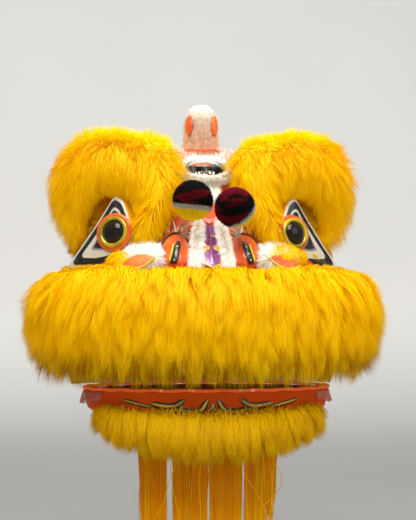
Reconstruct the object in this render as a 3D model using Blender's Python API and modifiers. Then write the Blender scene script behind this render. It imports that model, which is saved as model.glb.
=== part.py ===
"""Lion dance head: a hollow papier-mache head with fur lip and brows, and a hinged jaw.

Metres, +Z up. The lion looks along -Y and its right cheek is at -X. The origin is the middle
of the hand bar, which the dancer holds and on whose axis the jaw turns.
"""

import math

import bmesh
import bpy
import numpy as np
from mathutils import Matrix, Vector

GAP = 0.0003

# Sides of a turned piece.
TURN_SIDES = 16

# Papier-mache shell, open below and at the mouth.
SHELL_HALF_WIDTH = 0.290
SHELL_FRONT = 0.300
SHELL_REAR = 0.290
SHELL_HEIGHT = 0.505
SHELL_WALL = 0.003
SHELL_RIM_Z = -0.008
SHELL_SQUARENESS = 2.3
SHELL_SIDES = 32
MOUTH_TOP = 0.090
MOUTH_BACK = -0.062

# Height, half width, front and rear of each level, as shares of the shell's own sizes.
SHELL_LEVELS = [
    # height, width, front, rear
    (0.000, 0.950, 0.965, 0.935),
    (0.110, 0.985, 1.000, 0.985),
    (0.410, 0.985, 0.950, 1.000),
    (0.480, 0.955, 0.835, 0.985),
    (0.610, 0.905, 0.665, 0.915),
    (0.730, 0.865, 0.550, 0.810),
    (0.850, 0.800, 0.385, 0.640),
    (0.925, 0.670, 0.235, 0.450),
    (0.975, 0.410, 0.070, 0.240),
]

# Hoop in the rim and the bar across it.
HOOP_WIDTH = 0.012
HOOP_HEIGHT = 0.014
HOOP_BELOW_RIM = 0.002
BAR_RADIUS = 0.010

# Fur roll round the upper lip.
LIP_HALF_WIDTH = 0.318
LIP_FRONT = 0.300
LIP_END_Y = -0.085
LIP_TOP = 0.224
LIP_BOTTOM = 0.007
LIP_DEPTH = 0.046
LIP_REACH = 97.0
LIP_LOCKS = 18
LIP_MIDDLE_SHARE = 0.52
LIP_END_SHARE = 0.34
LIP_END_HEIGHT = 0.16
LIP_END_DEPTH = 0.45

# Locks of a fur roll, as shares of its depth and height: how far a full one stands out and
# hangs down past a drawn-in one, and how unequal neighbours are.
LOCK_STAND = 0.14
LOCK_DROP = 0.11
LOCK_UNEVEN = 0.04

# Outline of the lip's section: outwards as a share of its depth, height as a share of its own.
LIP_SECTION = [
    # outwards, height
    (-0.95, 0.88),
    (0.20, 1.00),
    (0.76, 0.91),
    (1.00, 0.70),
    (1.02, 0.40),
    (0.92, 0.14),
    (0.66, 0.00),
    (0.44, 0.14),
    (0.34, 0.34),
    (-0.95, 0.44),
]

# Eye panels and what is on them.
EYE_X = 0.180
EYE_Z = 0.300
EYE_STAND = 0.026
EYE_YAW = 28.0
EYE_LEAN = 8.0
EYE_PANEL_HEIGHT = 0.160
EYE_PANEL_WIDTH = 0.150
EYE_PANEL_DEPTH = 0.080
EYE_RING_RADIUS = 0.039
EYE_RING_THICK = 0.004
EYE_RIM_RADIUS = 0.0275
EYE_RIM_WIRE = 0.0036
EYEBALL_BULGE = 0.0146

# Outline of the panel round the eye's centre, outer side at -x, as shares of its size.
EYE_OUTLINE = [
    # across, up
    (-0.06, 0.50),
    (-0.24, 0.21),
    (-0.46, -0.10),
    (-0.74, -0.46),
    (-0.40, -0.48),
    (-0.15, -0.44),
    (0.11, -0.36),
    (0.23, -0.22),
    (0.26, -0.02),
    (0.18, 0.22),
    (0.08, 0.42),
]

# Brow hoods, told in rays round the eye's centre.
BROW_RADIUS = 0.222
BROW_FRONT = 0.235
BROW_LOCKS = 12
BROW_LOCK_STAND = 0.045
BROW_LOCK_UNEVEN = 0.030
BROW_SECTION_SIDES = 10
BROW_SECTION_SQUARENESS = 0.85

# Ray angle from the nose side over the top, inner and outer radius as shares of the brow's
# radius, front and back as shares of the brow's front.
BROW_RAYS = [
    # angle, inner, outer, front, back
    (-24.0, 0.215, 0.300, 0.880, 0.700),
    (-12.0, 0.190, 0.355, 0.930, 0.560),
    (5.0, 0.180, 0.420, 0.975, 0.450),
    (22.0, 0.180, 0.570, 1.000, 0.330),
    (36.0, 0.190, 0.700, 1.000, 0.200),
    (48.0, 0.205, 0.850, 0.950, 0.090),
    (60.0, 0.230, 0.960, 0.910, 0.030),
    (75.0, 0.285, 0.990, 0.870, -0.020),
    (90.0, 0.350, 0.980, 0.840, -0.040),
    (105.0, 0.350, 0.995, 0.800, -0.050),
    (120.0, 0.310, 0.940, 0.740, -0.040),
    (135.0, 0.285, 0.835, 0.640, -0.020),
    (150.0, 0.275, 0.695, 0.550, 0.020),
    (165.0, 0.280, 0.565, 0.490, 0.080),
    (182.0, 0.300, 0.460, 0.440, 0.150),
    (198.0, 0.330, 0.410, 0.400, 0.220),
]

# Turn in degrees from its middle at which a domed pad's end is cut off.
PAD_END_TURN = 76.0

# Cheeks, between the eye panels and the lip.
CHEEK_SIDE_INSET = 0.014
CHEEK_FRONT_INSET = 0.050
CHEEK_END_Y = -0.050
CHEEK_TOP = 0.266
CHEEK_THICK = 0.026
CHEEK_START = 33.0
CHEEK_END = 92.0
LIP_CLEARANCE = 0.002
TRIM_X = 0.128
TRIM_WIDTH = 0.082
TRIM_TOP = 0.270
TRIM_STAND = 0.040
LEAF_X = 0.138
LEAF_Z = 0.243
LEAF_STAND = 0.028
LEAF_LENGTH = 0.068
LEAF_WIDTH = 0.030
LEAF_THICK = 0.003
LEAF_YAW = 22.0
LEAF_ELEVATION = 28.0
LEAF_ROLL = 14.0

# Nose.
NOSE_TOP = 0.312
NOSE_BOTTOM = 0.2275
NOSE_TOP_WIDTH = 0.014
NOSE_BOTTOM_WIDTH = 0.038
NOSE_STAND = 0.018
NOSE_POINT = 0.008
NOSE_FLARE = 0.020
NOSE_FUR_WIDTH = 0.028
NOSE_FUR_DEPTH = 0.034
CREST_WIDTH = 0.052
CREST_HEIGHT = 0.026
CREST_DEPTH = 0.040
STUD_RADIUS = 0.0062
STUD_THICK = 0.003
STUD_Z = 0.265
STUD_SPREAD = 0.0100
TOP_STUD_X = 0.0045
TOP_STUD_Z = 0.2895
TOP_STUD_RADIUS = 0.0030
NOSTRIL_X = 0.070
NOSTRIL_Z = 0.2645
NOSTRIL_WIDTH = 0.052
NOSTRIL_HEIGHT = 0.070
NOSTRIL_STAND = 0.034
BAND_WIDTH = 0.011
BAND_THICK = 0.003
BAND_LEAN = 0.010
BAND_SHARE = 0.74

# Pompoms on their springs.
POMPOM_RADIUS = 0.041
POMPOM_LEFT = (-0.0365, -0.252, 0.3575)
POMPOM_RIGHT = (0.0430, -0.272, 0.3420)
SPRING_RADIUS = 0.0052
SPRING_WIRE = 0.0007
SPRING_TURNS = 4
SPRING_TURN_POINTS = 6
SPRING_FOOT_X = 0.0540
SPRING_FOOT_Z = 0.290
SPRING_LIFT = 0.006

# Mirror and the white fur of the forehead.
MIRROR_RADIUS = 0.0405
MIRROR_THICK = 0.003
MIRROR_RIM_WIRE = 0.0020
MIRROR_LEAN = 8.0
MIRROR_BELOW_CROWN = 0.0565
MIRROR_STAND = 0.0100
MIRROR_FUR_RADIUS = 0.0115
MIRROR_FUR_ROOT = 0.040
FOREHEAD_FUR_BELOW_MIRROR = 0.0505
FOREHEAD_FUR_WIDTH = 0.056
FOREHEAD_FUR_HEIGHT = 0.056
FOREHEAD_FUR_STAND = 0.024

# Horn.
HORN_Y = -0.012
HORN_RADIUS = 0.038
HORN_RISE = 0.093
HORN_ROOT = 0.060
HORN_LEAF_BELOW_DOME = 0.012
RIBBON_BELOW_CROWN = 0.006
HORN_LEAF_LENGTH = 0.046
HORN_LEAF_WIDTH = 0.017
HORN_LEAF_ANGLE = 48.0
RIBBON_WIRE = 0.0042

# Jaw, hung on the hand bar.
JAW_HALF_WIDTH = 0.246
JAW_FRONT = 0.277
JAW_REAR = 0.036
JAW_RIM_Z = -0.010
JAW_DEPTH = 0.052
JAW_WALL = 0.002
JAW_SIDES = 28
BINDING_WIRE = 0.0032
HINGE_X = 0.120
HINGE_WIDTH = 0.022
HINGE_WALL = 0.004
HINGE_CLEARANCE = 0.0006

# Bowl of the jaw: scale of the rim's outline and depth, as shares.
JAW_LEVELS = [
    # outline, depth
    (1.000, 0.00),
    (0.970, 0.68),
    (0.900, 0.93),
    (0.620, 1.00),
]

# Fur band below the jaw's front wall.
JAW_FUR_TOP = -0.050
JAW_FUR_RISE = 0.016
JAW_FUR_BOTTOM = -0.146
JAW_FUR_DEPTH = 0.034
JAW_FUR_REACH = 82.0
JAW_FUR_END_SHARE = 0.22
JAW_FUR_END_RISE = 0.36
JAW_FUR_LOCKS = 13

# Section of the jaw's fur: outwards from the front wall and height, as shares.
JAW_FUR_SECTION = [
    # outwards, height
    (-0.90, 0.86),
    (0.10, 1.00),
    (0.50, 0.92),
    (0.68, 0.60),
    (0.54, 0.18),
    (0.18, 0.00),
    (-0.18, 0.16),
    (-0.62, 0.46),
]

# Beard strips: middle and width as shares of the beard's width, length as a share of its own.
BEARD_WIDTH = 0.280
BEARD_BOTTOM = -0.452
BEARD_THICK = 0.011
BEARD_BOW = 0.024
BEARD_INSET = 0.056
BEARD_BAND = 0.30
BEARD_TAPER = 0.10
BEARD_STRIPS = [
    # middle, width, length
    (-0.455, 0.090, 0.93),
    (-0.350, 0.110, 1.00),
    (-0.195, 0.120, 0.97),
    (-0.075, 0.105, 0.99),
    (0.050, 0.110, 0.95),
    (0.165, 0.105, 1.00),
    (0.290, 0.110, 0.90),
    (0.395, 0.080, 0.82),
    (0.465, 0.060, 0.58),
]

# Gauze at the jaw's ends, angles round the rim from its front.
GAUZE_START = 58.0
GAUZE_END = 122.0
GAUZE_DROP = 0.024
GAUZE_END_SHARE = 0.45
GAUZE_BELOW_RIM = 0.004
GAUZE_WAVE = 0.004
GAUZE_THICK = 0.0012


def new_collection(name):
    group = bpy.data.collections.new(name)
    bpy.context.scene.collection.children.link(group)
    return group


def finish_of(name, colour, roughness, metallic=0.0):
    """A plain Principled material."""
    finish = bpy.data.materials.new(name)
    finish.use_nodes = True
    shader = finish.node_tree.nodes["Principled BSDF"]
    shader.inputs["Base Color"].default_value = (*colour, 1.0)
    shader.inputs["Roughness"].default_value = roughness
    shader.inputs["Metallic"].default_value = metallic
    return finish


def place(name, data, finish, parent, group=None):
    """Link an object under its body's empty."""
    thing = bpy.data.objects.new(name, data)
    (group or head_group).objects.link(thing)
    thing.parent = parent
    if finish:
        data.materials.append(finish)
    return thing


def mesh_of(name, points, faces):
    """A triangulated mesh whose faces point outwards."""
    mesh = bpy.data.meshes.new(name)
    mesh.from_pydata([tuple(point) for point in points], [], faces)
    work = bmesh.new()
    work.from_mesh(mesh)
    bmesh.ops.remove_doubles(work, verts=work.verts, dist=1e-6)
    bmesh.ops.triangulate(work, faces=work.faces)
    bmesh.ops.recalc_face_normals(work, faces=work.faces)
    work.to_mesh(mesh)
    work.free()
    mesh.set_sharp_from_angle(angle=math.radians(40))
    return mesh


def loft_faces(rings, sides):
    """Quads between successive rings of equal point count."""
    faces = []
    for ring in range(rings - 1):
        start = ring * sides
        following = start + sides
        for side in range(sides):
            across = (side + 1) % sides
            faces.append((start + side, start + across, following + across, following + side))
    return faces


def loft_mesh(name, rings):
    """A closed body through rings of points, with a fan over each end."""
    sides = len(rings[0])
    points = np.concatenate(rings + [rings[0].mean(0)[None], rings[-1].mean(0)[None]])
    faces = loft_faces(len(rings), sides)
    last = (len(rings) - 1) * sides
    for side in range(sides):
        across = (side + 1) % sides
        faces.append((len(points) - 2, across, side))
        faces.append((len(points) - 1, last + side, last + across))
    return mesh_of(name, points, faces)


def cut(thing, *cutters, solver="EXACT"):
    """Take each cutter out of a piece."""
    for cutter in cutters:
        tool = thing.modifiers.new("Clear of " + cutter.name, "BOOLEAN")
        tool.operation = "DIFFERENCE"
        tool.object = cutter
        tool.solver = solver
    return thing


def hide_cutter(thing):
    thing.hide_render = True
    thing.display_type = "WIRE"
    return thing


def swell(thing, amount):
    """Grow a cutter by the gap that neighbours keep."""
    grow = thing.modifiers.new("Gap", "DISPLACE")
    grow.mid_level = 0.0
    grow.strength = amount
    return thing


def facing(place_at, yaw, elevation):
    """Matrix of a piece whose +Z looks outwards, by yaw from -Y and elevation, in degrees."""
    turn = Matrix.Rotation(math.radians(yaw), 4, "Z")
    tip = Matrix.Rotation(math.radians(90.0 - elevation), 4, "X")
    return Matrix.Translation(place_at) @ turn @ tip


def wire(name, route, radius, finish, parent, closed=False, resolution=1):
    """A round wire along points."""
    curve = bpy.data.curves.new(name, "CURVE")
    curve.dimensions = "3D"
    curve.bevel_depth = radius
    curve.bevel_resolution = resolution
    curve.use_fill_caps = not closed
    spline = curve.splines.new("POLY")
    spline.points.add(len(route) - 1)
    for point, at in zip(spline.points, route):
        point.co = (*at, 1.0)
    spline.use_cyclic_u = closed
    return place(name, curve, finish, parent)


def lathed(name, profile, matrix, finish, parent, steps=TURN_SIDES):
    """A profile of radius and height, top to bottom, turned about local Z."""
    mesh = bpy.data.meshes.new(name)
    count = len(profile)
    mesh.from_pydata([(r, 0.0, z) for r, z in profile], [(i, i + 1) for i in range(count - 1)], [])
    thing = place(name, mesh, finish, parent)
    turn = thing.modifiers.new("Turn", "SCREW")
    turn.steps = steps
    turn.render_steps = steps
    turn.use_merge_vertices = True
    turn.merge_threshold = 0.00005
    thing.matrix_world = matrix
    return thing


def shell_level(height):
    """Half width, front and rear of the shell at a height above its rim."""
    table = np.array(SHELL_LEVELS)
    share = height / SHELL_HEIGHT
    width = np.interp(share, table[:, 0], table[:, 1]) * SHELL_HALF_WIDTH
    front = np.interp(share, table[:, 0], table[:, 2]) * SHELL_FRONT
    rear = np.interp(share, table[:, 0], table[:, 3]) * SHELL_REAR
    return width, front, rear


def shell_front(x, z):
    """Y of the shell's face at a place across and up."""
    width, front, rear = shell_level(z - SHELL_RIM_Z)
    share = min(abs(x) / width, 1.0)
    reach = (1.0 - share**SHELL_SQUARENESS) ** (1.0 / SHELL_SQUARENESS)
    return (rear - front) / 2 - (rear + front) / 2 * reach


def shell_ring(height, inset=0.0):
    """Points round the shell at a height, a squared ellipse."""
    width, front, rear = shell_level(height)
    turn = np.linspace(0, 2 * math.pi, SHELL_SIDES, endpoint=False)
    power = 2.0 / SHELL_SQUARENESS
    across = np.sign(np.cos(turn)) * np.abs(np.cos(turn)) ** power
    along = np.sign(np.sin(turn)) * np.abs(np.sin(turn)) ** power
    x = (width - inset) * across
    y = (rear - front) / 2 + ((rear + front) / 2 - inset) * along
    return np.stack([x, y, np.full(SHELL_SIDES, SHELL_RIM_Z + height)], 1)


def shell_points():
    """The levels of the shell and its crown."""
    rings = [shell_ring(row[0] * SHELL_HEIGHT) for row in SHELL_LEVELS]
    crown = np.array([[0.0, rings[-1][:, 1].mean(), SHELL_RIM_Z + SHELL_HEIGHT]])
    return rings, crown


def build_shell():
    """The hollow shell with its mouth. Returns the solid that its neighbours are cut by."""
    rings, crown = shell_points()
    points = np.concatenate(rings + [crown])
    faces = loft_faces(len(rings), SHELL_SIDES)
    last = (len(rings) - 1) * SHELL_SIDES
    for side in range(SHELL_SIDES):
        faces.append((last + side, last + (side + 1) % SHELL_SIDES, len(points) - 1))
    open_mesh = mesh_of("head_shell", points, faces)
    shell = place("head_shell", open_mesh, painted, head)
    wall = shell.modifiers.new("Wall", "SOLIDIFY")
    wall.thickness = SHELL_WALL
    wall.offset = -1.0
    mouth_size = Vector((3 * SHELL_HALF_WIDTH, 2 * SHELL_FRONT, 2 * MOUTH_TOP))
    mouth_y = MOUTH_BACK - mouth_size.y / 2
    bpy.ops.mesh.primitive_cube_add(size=1.0, location=(0.0, mouth_y, 0.0), scale=mouth_size)
    mouth = hide_cutter(bpy.context.object)
    mouth.name = "mouth_cutter"
    for group in list(mouth.users_collection):
        group.objects.unlink(mouth)
    cutter_group.objects.link(mouth)
    cut(shell, mouth)

    floor = points[:SHELL_SIDES].mean(0)[None]
    closed_faces = faces + [
        ((side + 1) % SHELL_SIDES, side, len(points)) for side in range(SHELL_SIDES)
    ]
    closed = mesh_of("shell_cutter", np.concatenate([points, floor]), closed_faces)
    solid = hide_cutter(place("shell_cutter", closed, None, None, cutter_group))
    return swell(solid, GAP)


def build_hoop_and_bar():
    """A flat hoop inside the rim behind the mouth, and the bar between its sides."""
    outer = shell_ring(0.0, SHELL_WALL + 2 * GAP)
    inner = shell_ring(0.0, SHELL_WALL + 2 * GAP + HOOP_WIDTH)
    keep = outer[:, 1] > MOUTH_BACK + HOOP_WIDTH / 2
    order = np.argsort(np.arctan2(outer[keep, 0], outer[keep, 1]))
    outer = outer[keep][order]
    inner = inner[keep][order]
    low = SHELL_RIM_Z - HOOP_BELOW_RIM
    high = low + HOOP_HEIGHT
    rings = []
    for out, into in zip(outer, inner):
        rings.append(
            np.array(
                [
                    (out[0], out[1], low),
                    (out[0], out[1], high),
                    (into[0], into[1], high),
                    (into[0], into[1], low),
                ]
            )
        )
    place("base_hoop", loft_mesh("base_hoop", rings), wood, head)
    right = inner[inner[:, 0] > 0][::-1]
    half = np.interp([-BAR_RADIUS, BAR_RADIUS], right[:, 1], right[:, 0]).min() - 2 * GAP
    bpy.ops.mesh.primitive_cylinder_add(
        vertices=TURN_SIDES, radius=BAR_RADIUS, depth=2 * half
    )
    bar = take_in(bpy.context.object, wood, head)
    bar.name = "hand_bar"
    bar.data.transform(Matrix.Rotation(math.pi / 2, 4, "Y"))


def lock_beat(station):
    """Unequal lengths of neighbouring locks, between 0 and 1, the same each run."""
    return 0.5 + 0.5 * math.sin(2.4 * station + 1.3 * math.sin(0.9 * station))


def lock_rise(station):
    """Share of a roll's height by which a station's tips end above the longest."""
    return LOCK_DROP * (1 - station % 2) + LOCK_UNEVEN * lock_beat(station)


def arc_at(angle, half_width, front, end_y):
    """A point of an oval arc in plan and its outward direction, angle 0 in front."""
    turn = math.radians(angle)
    depth = front + end_y
    point = np.array([half_width * math.sin(turn), end_y - depth * math.cos(turn)])
    out = np.array([depth * math.sin(turn), -half_width * math.cos(turn)])
    return point, out / np.linalg.norm(out)


def round_end(share, blunt):
    """Height share of a roll that closes as a rounded lobe near each end, share -1 to 1."""
    beyond = max(0.0, (abs(share) - (1.0 - blunt)) / blunt)
    return math.sqrt(max(0.0, 1.0 - beyond**2.2))


def build_lip():
    """The lip's fur: one section carried round the mouth, alternately full and drawn in."""
    rings = []
    stations = 2 * LIP_LOCKS + 1
    middle = LIP_BOTTOM + LIP_MIDDLE_SHARE * (LIP_TOP - LIP_BOTTOM)
    for station in range(stations):
        share = 2.0 * station / (stations - 1) - 1.0
        angle = LIP_REACH * share
        point, out = arc_at(angle, LIP_HALF_WIDTH, LIP_FRONT, LIP_END_Y)
        full = station % 2
        swell_end = LIP_END_HEIGHT + (1.0 - LIP_END_HEIGHT) * round_end(share, LIP_END_SHARE)
        rows = []
        for outwards, height in LIP_SECTION:
            front_side = 0.0 < outwards
            depth = LIP_DEPTH * outwards
            if outwards > 0.6:
                depth += LIP_DEPTH * LOCK_STAND * (full - 0.5)
                depth *= LIP_END_DEPTH + (1.0 - LIP_END_DEPTH) * swell_end
            z = LIP_BOTTOM + (LIP_TOP - LIP_BOTTOM) * height
            if height < 0.2 and front_side:
                z += (LIP_TOP - LIP_BOTTOM) * lock_rise(station)
            z = middle + (z - middle) * swell_end
            rows.append((*(point + out * depth), z))
        rings.append(np.array(rows))
    lip = place("lip_fur", loft_mesh("lip_fur", rings), yellow_fur, head)
    return cut(lip, shell_cutter)


def eye_centre(side):
    """Middle of an eye panel's face."""
    return Vector((side * EYE_X, shell_front(EYE_X, EYE_Z) - EYE_STAND, EYE_Z))


def eye_matrix(side):
    return facing(eye_centre(side), side * EYE_YAW, EYE_LEAN)


def eye_outline(side, grow=0.0):
    """The panel's outline in its own plane, grown outwards from the eye's centre."""
    rows = []
    for across, up in EYE_OUTLINE:
        point = Vector((across * EYE_PANEL_WIDTH, up * EYE_PANEL_HEIGHT))
        point *= 1.0 + grow / point.length
        rows.append((-side * point.x, point.y))
    return rows


def eye_block(name, side, grow):
    """Panel face and the block behind it, as a loft from the face back into the shell."""
    outline = np.array(eye_outline(side, grow))
    depths = [grow, -0.10 * EYE_PANEL_DEPTH, -EYE_PANEL_DEPTH]
    scales = [0.96, 1.0, 1.0]
    matrix = np.array(eye_matrix(side))
    rings = []
    for depth, scale in zip(depths, scales):
        local = np.column_stack([outline * scale, np.full(len(outline), depth)])
        rings.append(local @ matrix[:3, :3].T + matrix[:3, 3])
    return loft_mesh(name, rings)


def build_eye(label, side):
    """Block, ring, rim and eyeball of one eye, and the solid its brow is cut by."""
    block = place("eye_plate_" + label, eye_block("eye_plate_" + label, side, 0.0), panel, head)
    cut(block, shell_cutter)
    guard_mesh = eye_block("eye_cutter_" + label, side, 3 * GAP)
    guard = hide_cutter(place("eye_cutter_" + label, guard_mesh, None, None, cutter_group))
    matrix = eye_matrix(side)
    ring_profile = [
        (EYE_RIM_RADIUS + EYE_RIM_WIRE + 2 * GAP, EYE_RING_THICK),
        (EYE_RING_RADIUS * 0.97, EYE_RING_THICK * 0.75),
        (EYE_RING_RADIUS, GAP),
        (EYE_RIM_RADIUS + EYE_RIM_WIRE + 2 * GAP, GAP),
        (EYE_RIM_RADIUS + EYE_RIM_WIRE + 2 * GAP, EYE_RING_THICK),
    ]
    lathed("eye_ring_" + label, ring_profile, matrix, orange, head)
    bpy.ops.mesh.primitive_torus_add(
        major_segments=16,
        minor_segments=5,
        major_radius=EYE_RIM_RADIUS,
        minor_radius=EYE_RIM_WIRE,
    )
    rim = bpy.context.object
    rim.name = "eye_rim_" + label
    take_in(rim, gold, head)
    rim.matrix_world = matrix @ Matrix.Translation((0.0, 0.0, EYE_RIM_WIRE + GAP))
    ball = EYE_RIM_RADIUS - EYE_RIM_WIRE - 2 * GAP
    edge = 0.002
    profile = [(0.0, GAP + EYEBALL_BULGE)]
    for step in range(1, 5):
        turn = math.radians(90.0 * step / 4)
        height = GAP + edge + (EYEBALL_BULGE - edge) * math.cos(turn)
        profile.append((ball * math.sin(turn), height))
    profile += [(ball, GAP), (0.0, GAP)]
    lathed("eyeball_" + label, profile, matrix, black_gloss, head)

    clear = 6 * GAP
    front_rows = [
        (EYE_RING_RADIUS + clear, -GAP),
        (EYE_RING_RADIUS + clear, EYE_RING_THICK + clear),
        (EYE_RIM_RADIUS + EYE_RIM_WIRE + clear, 2 * EYE_RIM_WIRE + clear),
        (ball * 0.8, EYEBALL_BULGE + 2 * clear),
    ]
    front_mesh = turned_mesh("eye_front_" + label, front_rows, matrix, hollow=True)
    front = hide_cutter(place("eye_front_" + label, front_mesh, None, None, cutter_group))
    return guard, front


def take_in(thing, finish, parent):
    """Move a primitive into the head's collection and under its body."""
    for group in list(thing.users_collection):
        group.objects.unlink(thing)
    head_group.objects.link(thing)
    thing.parent = parent
    thing.data.materials.append(finish)
    thing.data.shade_smooth()
    thing.data.set_sharp_from_angle(angle=math.radians(40))
    return thing


def build_brow(label, side, *guards):
    """A fur hood: an oval section carried over the eye in rays, full and drawn in by turns."""
    table = np.array(BROW_RAYS)
    centre = eye_centre(side)
    stations = 2 * BROW_LOCKS + 1
    rings = []
    turn = np.linspace(0, 2 * math.pi, BROW_SECTION_SIDES, endpoint=False) + math.pi / 12
    for station in range(stations):
        share = station / (stations - 1)
        angle = table[0, 0] + share * (table[-1, 0] - table[0, 0])
        inner, outer, front, back = (
            np.interp(angle, table[:, 0], table[:, column]) for column in (1, 2, 3, 4)
        )
        full = station % 2
        uneven = BROW_LOCK_UNEVEN * (lock_beat(station) - 0.5)
        lift = (BROW_LOCK_STAND * (full - 0.5) + uneven) * BROW_RADIUS
        middle = BROW_RADIUS * (inner + outer) / 2
        half = BROW_RADIUS * (outer - inner) / 2
        centre_y = -BROW_FRONT * (front + back) / 2
        deep = BROW_FRONT * (front - back) / 2
        radial = np.sign(np.cos(turn)) * np.abs(np.cos(turn)) ** BROW_SECTION_SQUARENESS
        level = np.sign(np.sin(turn)) * np.abs(np.sin(turn)) ** BROW_SECTION_SQUARENESS
        reach = middle + radial * half + np.where(radial > 0.1, lift, 0.0)
        y = centre_y - level * deep - np.where(level > 0.3, 0.7 * lift, 0.0)
        ray = math.radians(angle)
        x = centre.x - side * reach * math.cos(ray)
        z = centre.z + reach * math.sin(ray)
        rings.append(np.stack([x, y, z], 1))
    brow = place("brow_fur_" + label, loft_mesh("brow_fur_" + label, rings), yellow_fur, head)
    return cut(brow, shell_cutter, *guards, solver="MANIFOLD")


def patch_front(x, z, centre_x, centre_z, width, height, stand):
    """Y of a domed pad's face at a place across and up, on the side of +x."""
    across = (x - centre_x) / (width / 2)
    up = math.sin(math.radians(PAD_END_TURN)) * (z - centre_z) / (height / 2)
    bulge = math.sqrt(max(0.0, 1.0 - up**2 - across**2))
    return shell_front(x, z) - stand * bulge


def shell_patch(name, centre_x, centre_z, width, height, stand, steps=(10, 6)):
    """A pad on the shell's face: oval in front view, domed outwards by its stand."""
    rings = []
    for up in np.linspace(-1.0, 1.0, steps[1]):
        row = []
        reach = math.sqrt(1.0 - (math.sin(math.radians(PAD_END_TURN)) * up) ** 2)
        z = centre_z + up * height / 2
        for turn in np.linspace(0, 2 * math.pi, steps[0], endpoint=False):
            x = centre_x + math.cos(turn) * reach * width / 2
            row.append((x, shell_front(x, z) - stand * math.sin(turn) * reach, z))
        rings.append(np.array(row))
    return loft_mesh(name, rings)


def guard_of(thing, amount=GAP):
    """A hidden, slightly grown copy of a mesh piece, for cutting its neighbours."""
    copy = thing.copy()
    copy.data = thing.data.copy()
    copy.name = thing.name + "_guard"
    cutter_group.objects.link(copy)
    return swell(hide_cutter(copy), amount)


def leaf_outline(length, width, count=12):
    """A pointed leaf: two equal arcs between its tips."""
    half = np.linspace(-1.0, 1.0, count // 2 + 1)
    upper = [(length / 2 * share, width / 2 * (1.0 - share * share)) for share in half]
    lower = [(length / 2 * share, -width / 2 * (1.0 - share * share)) for share in half[1:-1]]
    return upper + lower[::-1]


def block_mesh(name, outline, matrix, front, back):
    """A flat outline carried straight back from one depth to another."""
    turn = np.array(matrix)
    rings = []
    for depth in (front, back):
        local = np.column_stack([np.array(outline), np.full(len(outline), depth)])
        rings.append(local @ turn[:3, :3].T + turn[:3, 3])
    return loft_mesh(name, rings)


def build_cheek(label, side, *eye_guards):
    """Short plush below the eye, the white trim, and the leaf plate bedded in the trim."""
    low = LIP_TOP + LIP_CLEARANCE
    half_width = SHELL_HALF_WIDTH - CHEEK_SIDE_INSET
    front = SHELL_FRONT - CHEEK_FRONT_INSET
    rings = []
    for share in np.linspace(0.0, 1.0, 9):
        angle = CHEEK_START + share * (CHEEK_END - CHEEK_START)
        point, out = arc_at(angle, half_width, front, CHEEK_END_Y)
        full = math.sqrt(max(0.02, 1.0 - (2.0 * share - 1.0) ** 6))
        rows = []
        for outwards, height in (
            (-2.2, 0.00),
            (0.20, 0.00),
            (0.80, 0.25),
            (0.85, 0.60),
            (0.35, 0.95),
            (-0.40, 1.00),
            (-2.2, 1.00),
        ):
            place_at = point + out * CHEEK_THICK * outwards * full
            z = low + (CHEEK_TOP - low) * height * full
            rows.append((side * place_at[0], place_at[1], z))
        rings.append(np.array(rows))
    name = "cheek_fur_" + label
    cheek = place(name, loft_mesh(name, rings), yellow_fur, head)

    name = "cheek_trim_" + label
    height = TRIM_TOP - low
    middle = low + height / 2
    trim_mesh = shell_patch(name, side * TRIM_X, middle, TRIM_WIDTH, height, TRIM_STAND)
    trim = place(name, trim_mesh, white_fur, head)
    cut(cheek, shell_cutter, *eye_guards, guard_of(trim))

    at = Vector((side * LEAF_X, shell_front(LEAF_X, LEAF_Z) - LEAF_STAND, LEAF_Z))
    roll = Matrix.Rotation(-side * math.radians(LEAF_ROLL), 4, "Z")
    matrix = facing(at, side * LEAF_YAW, LEAF_ELEVATION) @ roll
    name = "cheek_leaf_" + label
    leaf_mesh = block_mesh(name, leaf_outline(LEAF_LENGTH, LEAF_WIDTH), matrix, LEAF_THICK, 0.0)
    place(name, leaf_mesh, orange, head)
    bed_outline = leaf_outline(LEAF_LENGTH + 8 * GAP, LEAF_WIDTH + 8 * GAP)
    bed_mesh = block_mesh("leaf_bed_" + label, bed_outline, matrix, TRIM_STAND, -GAP)
    bed = hide_cutter(place("leaf_bed_" + label, bed_mesh, None, None, cutter_group))
    cut(trim, shell_cutter, *eye_guards, bed)
    cut(cheek, bed)
    return guard_of(trim)


def nose_front(z):
    """Y of the nose ridge's front at a height: straight between its two ends."""
    share = (z - NOSE_BOTTOM) / (NOSE_TOP - NOSE_BOTTOM)
    low = shell_front(0.0, NOSE_BOTTOM) - NOSE_STAND
    high = shell_front(0.0, NOSE_TOP) - NOSE_STAND
    return low + share * (high - low)


def nose_width(z):
    """Width of the purple front at a height."""
    share = (z - NOSE_BOTTOM) / (NOSE_TOP - NOSE_BOTTOM)
    return NOSE_BOTTOM_WIDTH + share * (NOSE_TOP_WIDTH - NOSE_BOTTOM_WIDTH)


def nose_slope():
    """Elevation in degrees of the outward normal of the nose's front."""
    rise = nose_front(NOSE_TOP) - nose_front(NOSE_BOTTOM)
    return math.degrees(math.atan2(rise, NOSE_TOP - NOSE_BOTTOM))


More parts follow.
